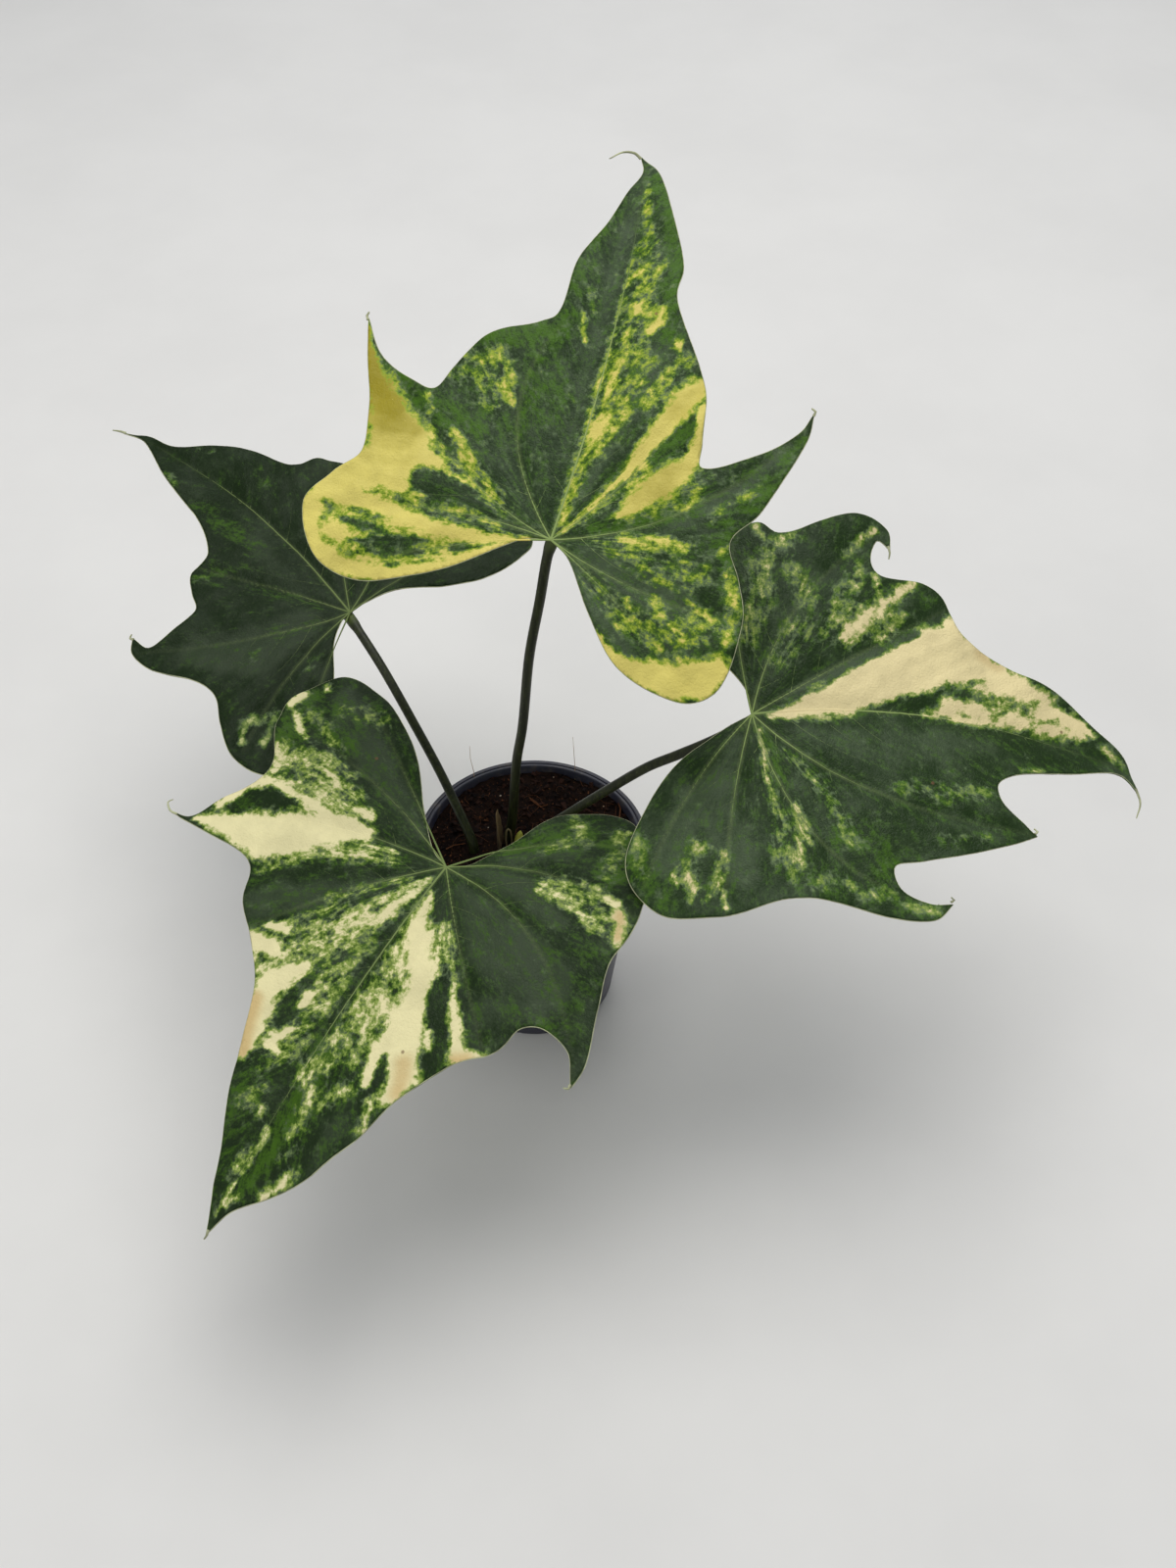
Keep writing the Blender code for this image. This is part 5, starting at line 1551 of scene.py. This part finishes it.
STALK_RADIUS = 2.4
STALK_STEP = 2.5
FOOT_FLARE = 0.25
FLARE_HEIGHT = 30.0
KNEE_RADIUS = 3.0
KNEE_LENGTH = 13.0
KNEE_SEAT = 3.0
KNEE_GAP = 0.5
KNEE_BEND = 4.0
STALK_OLIVE = (0.024, 0.030, 0.008)
STALK_SHADE = (0.010, 0.013, 0.004)
KNEE_GREEN = (0.080, 0.115, 0.026)


def stalk_finish():
    """Olive skin with darker streaks along it and pale specks, and a paler knee."""
    material, tree, shader = new_finish("stalk_skin", 0.42, 0.25)
    place = object_place(tree)
    streak = mottling(tree, stretched(tree, place, (1.0, 1.0, 0.15)), 420.0, 4.0, 0.6)
    colour = blend(tree, ease(tree, streak, 0.35, 0.65), STALK_SHADE, STALK_OLIVE)
    speck = ease(tree, mottling(tree, place, 900.0, 2.0, 0.5), 0.63, 0.68)
    colour = blend(tree, times(tree, speck, 0.4), colour, KNEE_GREEN)
    knee = ease(tree, read_attribute(tree, "knee"), 0.0, 1.0)
    use_colour(tree, shader, blend(tree, knee, colour, KNEE_GREEN))
    raise_surface(tree, shader, streak, 0.08)
    return material


def stalk_path(leaf, route):
    """From deep in the soil along the route to just under the blade, with each radius."""
    up = Vector(leaf_axes(leaf)[2])
    top = Vector(surface(leaf, [(0.0, KNEE_SEAT)])[0]) - up * KNEE_GAP
    foot = Vector(route[0])
    bends = [Vector(point) for point in route] + [top - up * KNEE_BEND]
    points = [Vector((foot.x, foot.y, STALK_FOOT)), foot] + smooth_curve(bends, STALK_STEP) + [top]
    path = []
    for point in points:
        knee = max(0.0, 1.0 - (top - point).length / KNEE_LENGTH)
        base = max(0.0, 1.0 - (point.z - foot.z) / FLARE_HEIGHT) if point.z > foot.z else 1.0
        swelling = (KNEE_RADIUS - STALK_RADIUS) * math.sin(math.pi / 2 * min(1.0, 2.0 * knee))
        path.append((*point, STALK_RADIUS + swelling + FOOT_FLARE * base**2))
    return path


stalk_skin = stalk_finish()
for name, route in STALKS.items():
    stalk_name = name.replace("leaf", "stalk")
    path = stalk_path(LEAVES[name], route)
    stalk = add_mesh_piece(stalk_name + "_skin", tube_mesh(stalk_name, [path], 6), [stalk_skin],
                           [stalk_name])
    top = np.array(path[-1][:3])
    away = np.linalg.norm(np.array([vert.co for vert in stalk.data.vertices]) / MM - top, axis=1)
    write_attribute(stalk.data, "knee", np.clip(1.0 - away / KNEE_LENGTH, 0.0, 1.0))


# Two pale hairs of coir, as thin as thread, stand in the soil at the back of the pot and
# reach past its rim, and they taper to their tips.
HAIRS = [[(-31.5, 45.0, 105, 0.16), (-32.0, 49.0, 112, 0.15), (-33.5, 50.0, 121, 0.12),
          (-33.5, 50.5, 130, 0.08)],
         [(22.0, 50.0, 105, 0.16), (22.0, 52.3, 112, 0.15), (21.5, 52.5, 124, 0.12),
          (21.0, 52.5, 135, 0.08)]]
add_mesh_piece("rim_hairs", tube_mesh("rim_hairs", HAIRS, 0),
               [tinted_finish("hair", FIBRE_TAN, GRIT_PALE, 0.7, 0.02)])


# The plant stands on a plain pale floor under soft studio light, and the camera looks
# down on it from the front, as in the photograph. Places here are in metres.
FLOOR_REACH = 14.0
FLOOR_PALE = (0.72, 0.71, 0.69)
ROOM_COLOUR = (0.93, 0.96, 1.0)
ROOM_STRENGTH = 0.46
LIGHT_TARGET = (0.0, 0.0, 0.2)
# Each light is (name, place, width, power, colour).
LIGHTS = [("overhead", (0.1, 0.25, 1.85), 1.5, 19.0, (1.0, 0.99, 0.97)),
          ("behind", (0.3, 1.6, 1.35), 1.5, 6.0, (0.97, 0.98, 1.0)),
          ("front_left", (-1.5, -1.2, 1.5), 1.3, 10.0, (1.0, 0.98, 0.95))]
CAMERA_PLACE = (0.029, -0.678, 0.866)
CAMERA_TILT = 46.4
CAMERA_LENS = 45.0


def floor_finish():
    material, tree, shader = new_finish("pale_floor", 0.85)
    soft = ease(tree, mottling(tree, object_place(tree), 6.0, 4.0, 0.6), 0.3, 0.7)
    use_colour(tree, shader, blend(tree, soft, FLOOR_PALE, toned(0.96, FLOOR_PALE)))
    return material


floor_shape = bmesh.new()
bmesh.ops.create_circle(floor_shape, cap_ends=True, radius=FLOOR_REACH, segments=96)
floor = put_in_scene("floor", finished_mesh("floor", floor_shape))
floor.data.materials.append(floor_finish())

world = bpy.data.worlds.new("soft_room")
world.use_nodes = True
background = world.node_tree.nodes["Background"]
background.inputs["Color"].default_value = (*ROOM_COLOUR, 1.0)
background.inputs["Strength"].default_value = ROOM_STRENGTH
bpy.context.scene.world = world
bpy.context.scene.view_settings.view_transform = "Standard"

for name, place, width, power, colour in LIGHTS:
    light = bpy.data.lights.new(name, "AREA")
    light.shape = "DISK"
    light.size = width
    light.energy = power
    light.color = colour
    lamp = put_in_scene(name, light)
    lamp.location = place
    lamp.rotation_euler = (Vector(LIGHT_TARGET) - Vector(place)).to_track_quat("-Z", "Y").to_euler()

lens = bpy.data.cameras.new("camera")
lens.lens = CAMERA_LENS
camera = put_in_scene("camera", lens)
camera.location = CAMERA_PLACE
camera.rotation_euler = (math.radians(90.0 - CAMERA_TILT), 0.0, 0.0)
bpy.context.scene.camera = camera
